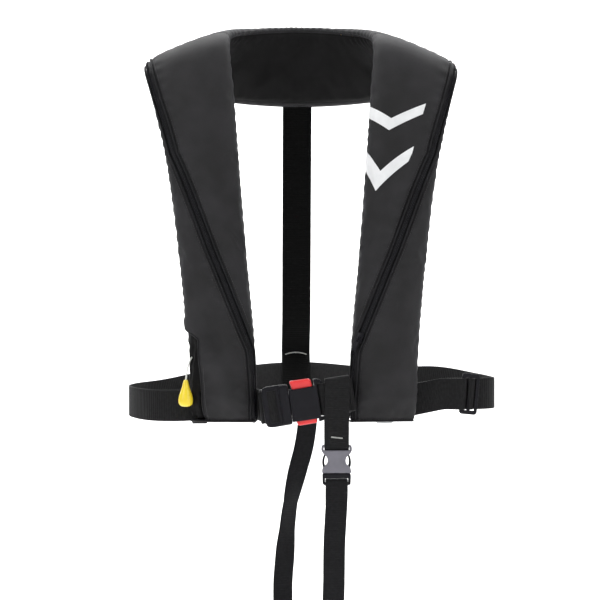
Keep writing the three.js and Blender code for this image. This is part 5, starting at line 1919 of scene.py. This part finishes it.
for word, side in (("left", 1), ("right", -1)):
    spine = np.array(
        [(10.6, -13.0), (13.0, -9.4), (15.0, -5.0), (15.7, -0.4), (15.2, 4.4), (13.9, 8.2),
            (13.2, 9.6)]
    )
    path = np.column_stack([side * spine[:, 0], np.zeros(len(spine)), spine[:, 1]])
    t, run = even_along(path, 0.45)
    centre = through(path, t)
    along = unit(through(path, t + 0.02) - through(path, t - 0.02))
    sideways = np.cross(along, [0, 1, 0])
    corners = np.array(
        [(1, -0.8), (1, 0.8), (0.7, 1), (-0.7, 1), (-1, 0.8), (-1, -0.8), (-0.7, -1), (0.7, -1)]
    )
    half_wide = 1.5 - 0.4 * smoothstep(run, 0.3 * run[-1], run[-1])
    rings = (
        centre[:, None]
        + sideways[:, None] * (corners[None, :, 0] * half_wide[:, None])[..., None]
        + np.array([0, 1.0, 0]) * (corners[:, 1] * 3.0)[None, :, None]
    )
    prong = sweep_rings(f"crotch_prong_{word}_moulded", on_small(rings), black_acetal, sharp=25)
    on_body(prong, f"prong_{word}", f"crotch_prong_{word}")

# %% [markdown]
# ### The adjuster
# A three-bar slide on the belt, lying slightly askew as such slides do. Its bars are rounded, so
# the webbing runs over them without fraying, and the two end bars are joined by short curved rails.

# %% Adjuster
SKEW = math.radians(5.5)
SKEW_X = np.array([math.cos(SKEW), 0, -math.sin(SKEW)])
SKEW_Z = np.array([math.sin(SKEW), 0, math.cos(SKEW)])
frame_shape = rounded_outline([(-11, -25, 4.5), (11, -25, 4.5), (11, 25, 4.5), (-11, 25, 4.5)], 140)
adjuster = sweep_rings(
    "belt_adjuster_moulded", placed(plate(frame_shape, 2.8, 1.1, 0.0), ADJUSTER, SKEW_X, SKEW_Z),
    black_acetal
)
openings = [block((5.2, 20, 39.8), (x, 0, 0), ADJUSTER, SKEW_X, SKEW_Z) for x in (-4.5, 4.5)]
carved(adjuster, openings, bevel=0.9)
on_body(adjuster, "adjuster", "belt_adjuster")

# %% [markdown]
# ### Small metal and the pieces inside
# The ring on the lobe and the zip's slider and pull keep their CAD shapes with softened edges. The
# pieces inside the lobes, such as the inflator, the cylinder, the oral tube and the whistle, keep
# their CAD meshes and get their finishes. The folded bladder is soft, so it gets its own mesh with
# creased folds.

# %% Softened copies of CAD pieces
def merged_copy(node, name, material):
    """A copy of a CAD node's mesh, with its loose triangles merged."""
    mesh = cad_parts[node].data.copy()
    work = bmesh.new()
    work.from_mesh(mesh)
    bmesh.ops.remove_doubles(work, verts=work.verts, dist=0.00001)
    bmesh.ops.dissolve_limit(
        work, angle_limit=math.radians(1.5), verts=work.verts, edges=work.edges
    )
    work.to_mesh(mesh)
    work.free()
    mesh.materials.clear()
    mesh.materials.append(material)
    piece = bpy.data.objects.new(name, mesh)
    bpy.context.scene.collection.objects.link(piece)
    return piece


softened = {
    "lobe_ring": ("jacket", steel, 0.7), "zip_slider": ("slider", black_acetal, 0.35),
    "zip_pull": ("pull", black_acetal, 0.2),
    "inflator_body": ("jacket", black_acetal, 0.4), "firing_lever": ("lever", red_acetal, 0.4),
    "whistle": ("jacket", yellow_acetal, 0.5), "manifold_nut": ("jacket", black_acetal, 0.3),
}
for node, (body, material, width) in softened.items():
    on_body(carved(merged_copy(node, node + "_softened", material), bevel=width), body, node)

# %% Bladder
bladder = merged_copy("bladder", "bladder_folded", bladder_cloth)
voxels = bladder.modifiers.new("even", "REMESH")
voxels.mode, voxels.voxel_size = "VOXEL", 0.0045
shaped = bpy.data.meshes.new_from_object(
    bladder.evaluated_get(bpy.context.evaluated_depsgraph_get())
)
bladder.modifiers.clear()
bladder.data = shaped
where = np.zeros(len(shaped.vertices) * 3)
shaped.vertices.foreach_get("co", where)
facing = np.array([v.normal for v in shaped.vertices])
where = where.reshape(-1, 3)
folds = -0.0020 + 0.0012 * (
    np.sin(where[:, 0] * 520 + 3 * np.sin(where[:, 2] * 40)) - 1
) + 0.0006 * (np.sin(where[:, 2] * 300) - 1)
shaped.vertices.foreach_set("co", (where + facing * folds[:, None]).ravel())
shaped.shade_smooth()
shaped.materials.clear()
shaped.materials.append(bladder_cloth)
on_body(bladder, "jacket", "bladder")
print("bladder", len(shaped.polygons), "faces")

# %% Finishes of the carried-over pieces
finishes = {
    "gas_cylinder": steel, "lever_pivot_pin": steel, "piercing_pin": steel, "return_spring": steel,
    "manifold_stem": steel,
    "manifold_gasket": black_rubber, "oral_tube": black_rubber, "oral_valve": grey_acetal,
    "dust_cap": yellow_acetal,
    "sensor_cap": yellow_acetal,
}
for node, material in finishes.items():
    for material_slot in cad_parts[node].material_slots:
        material_slot.material = material
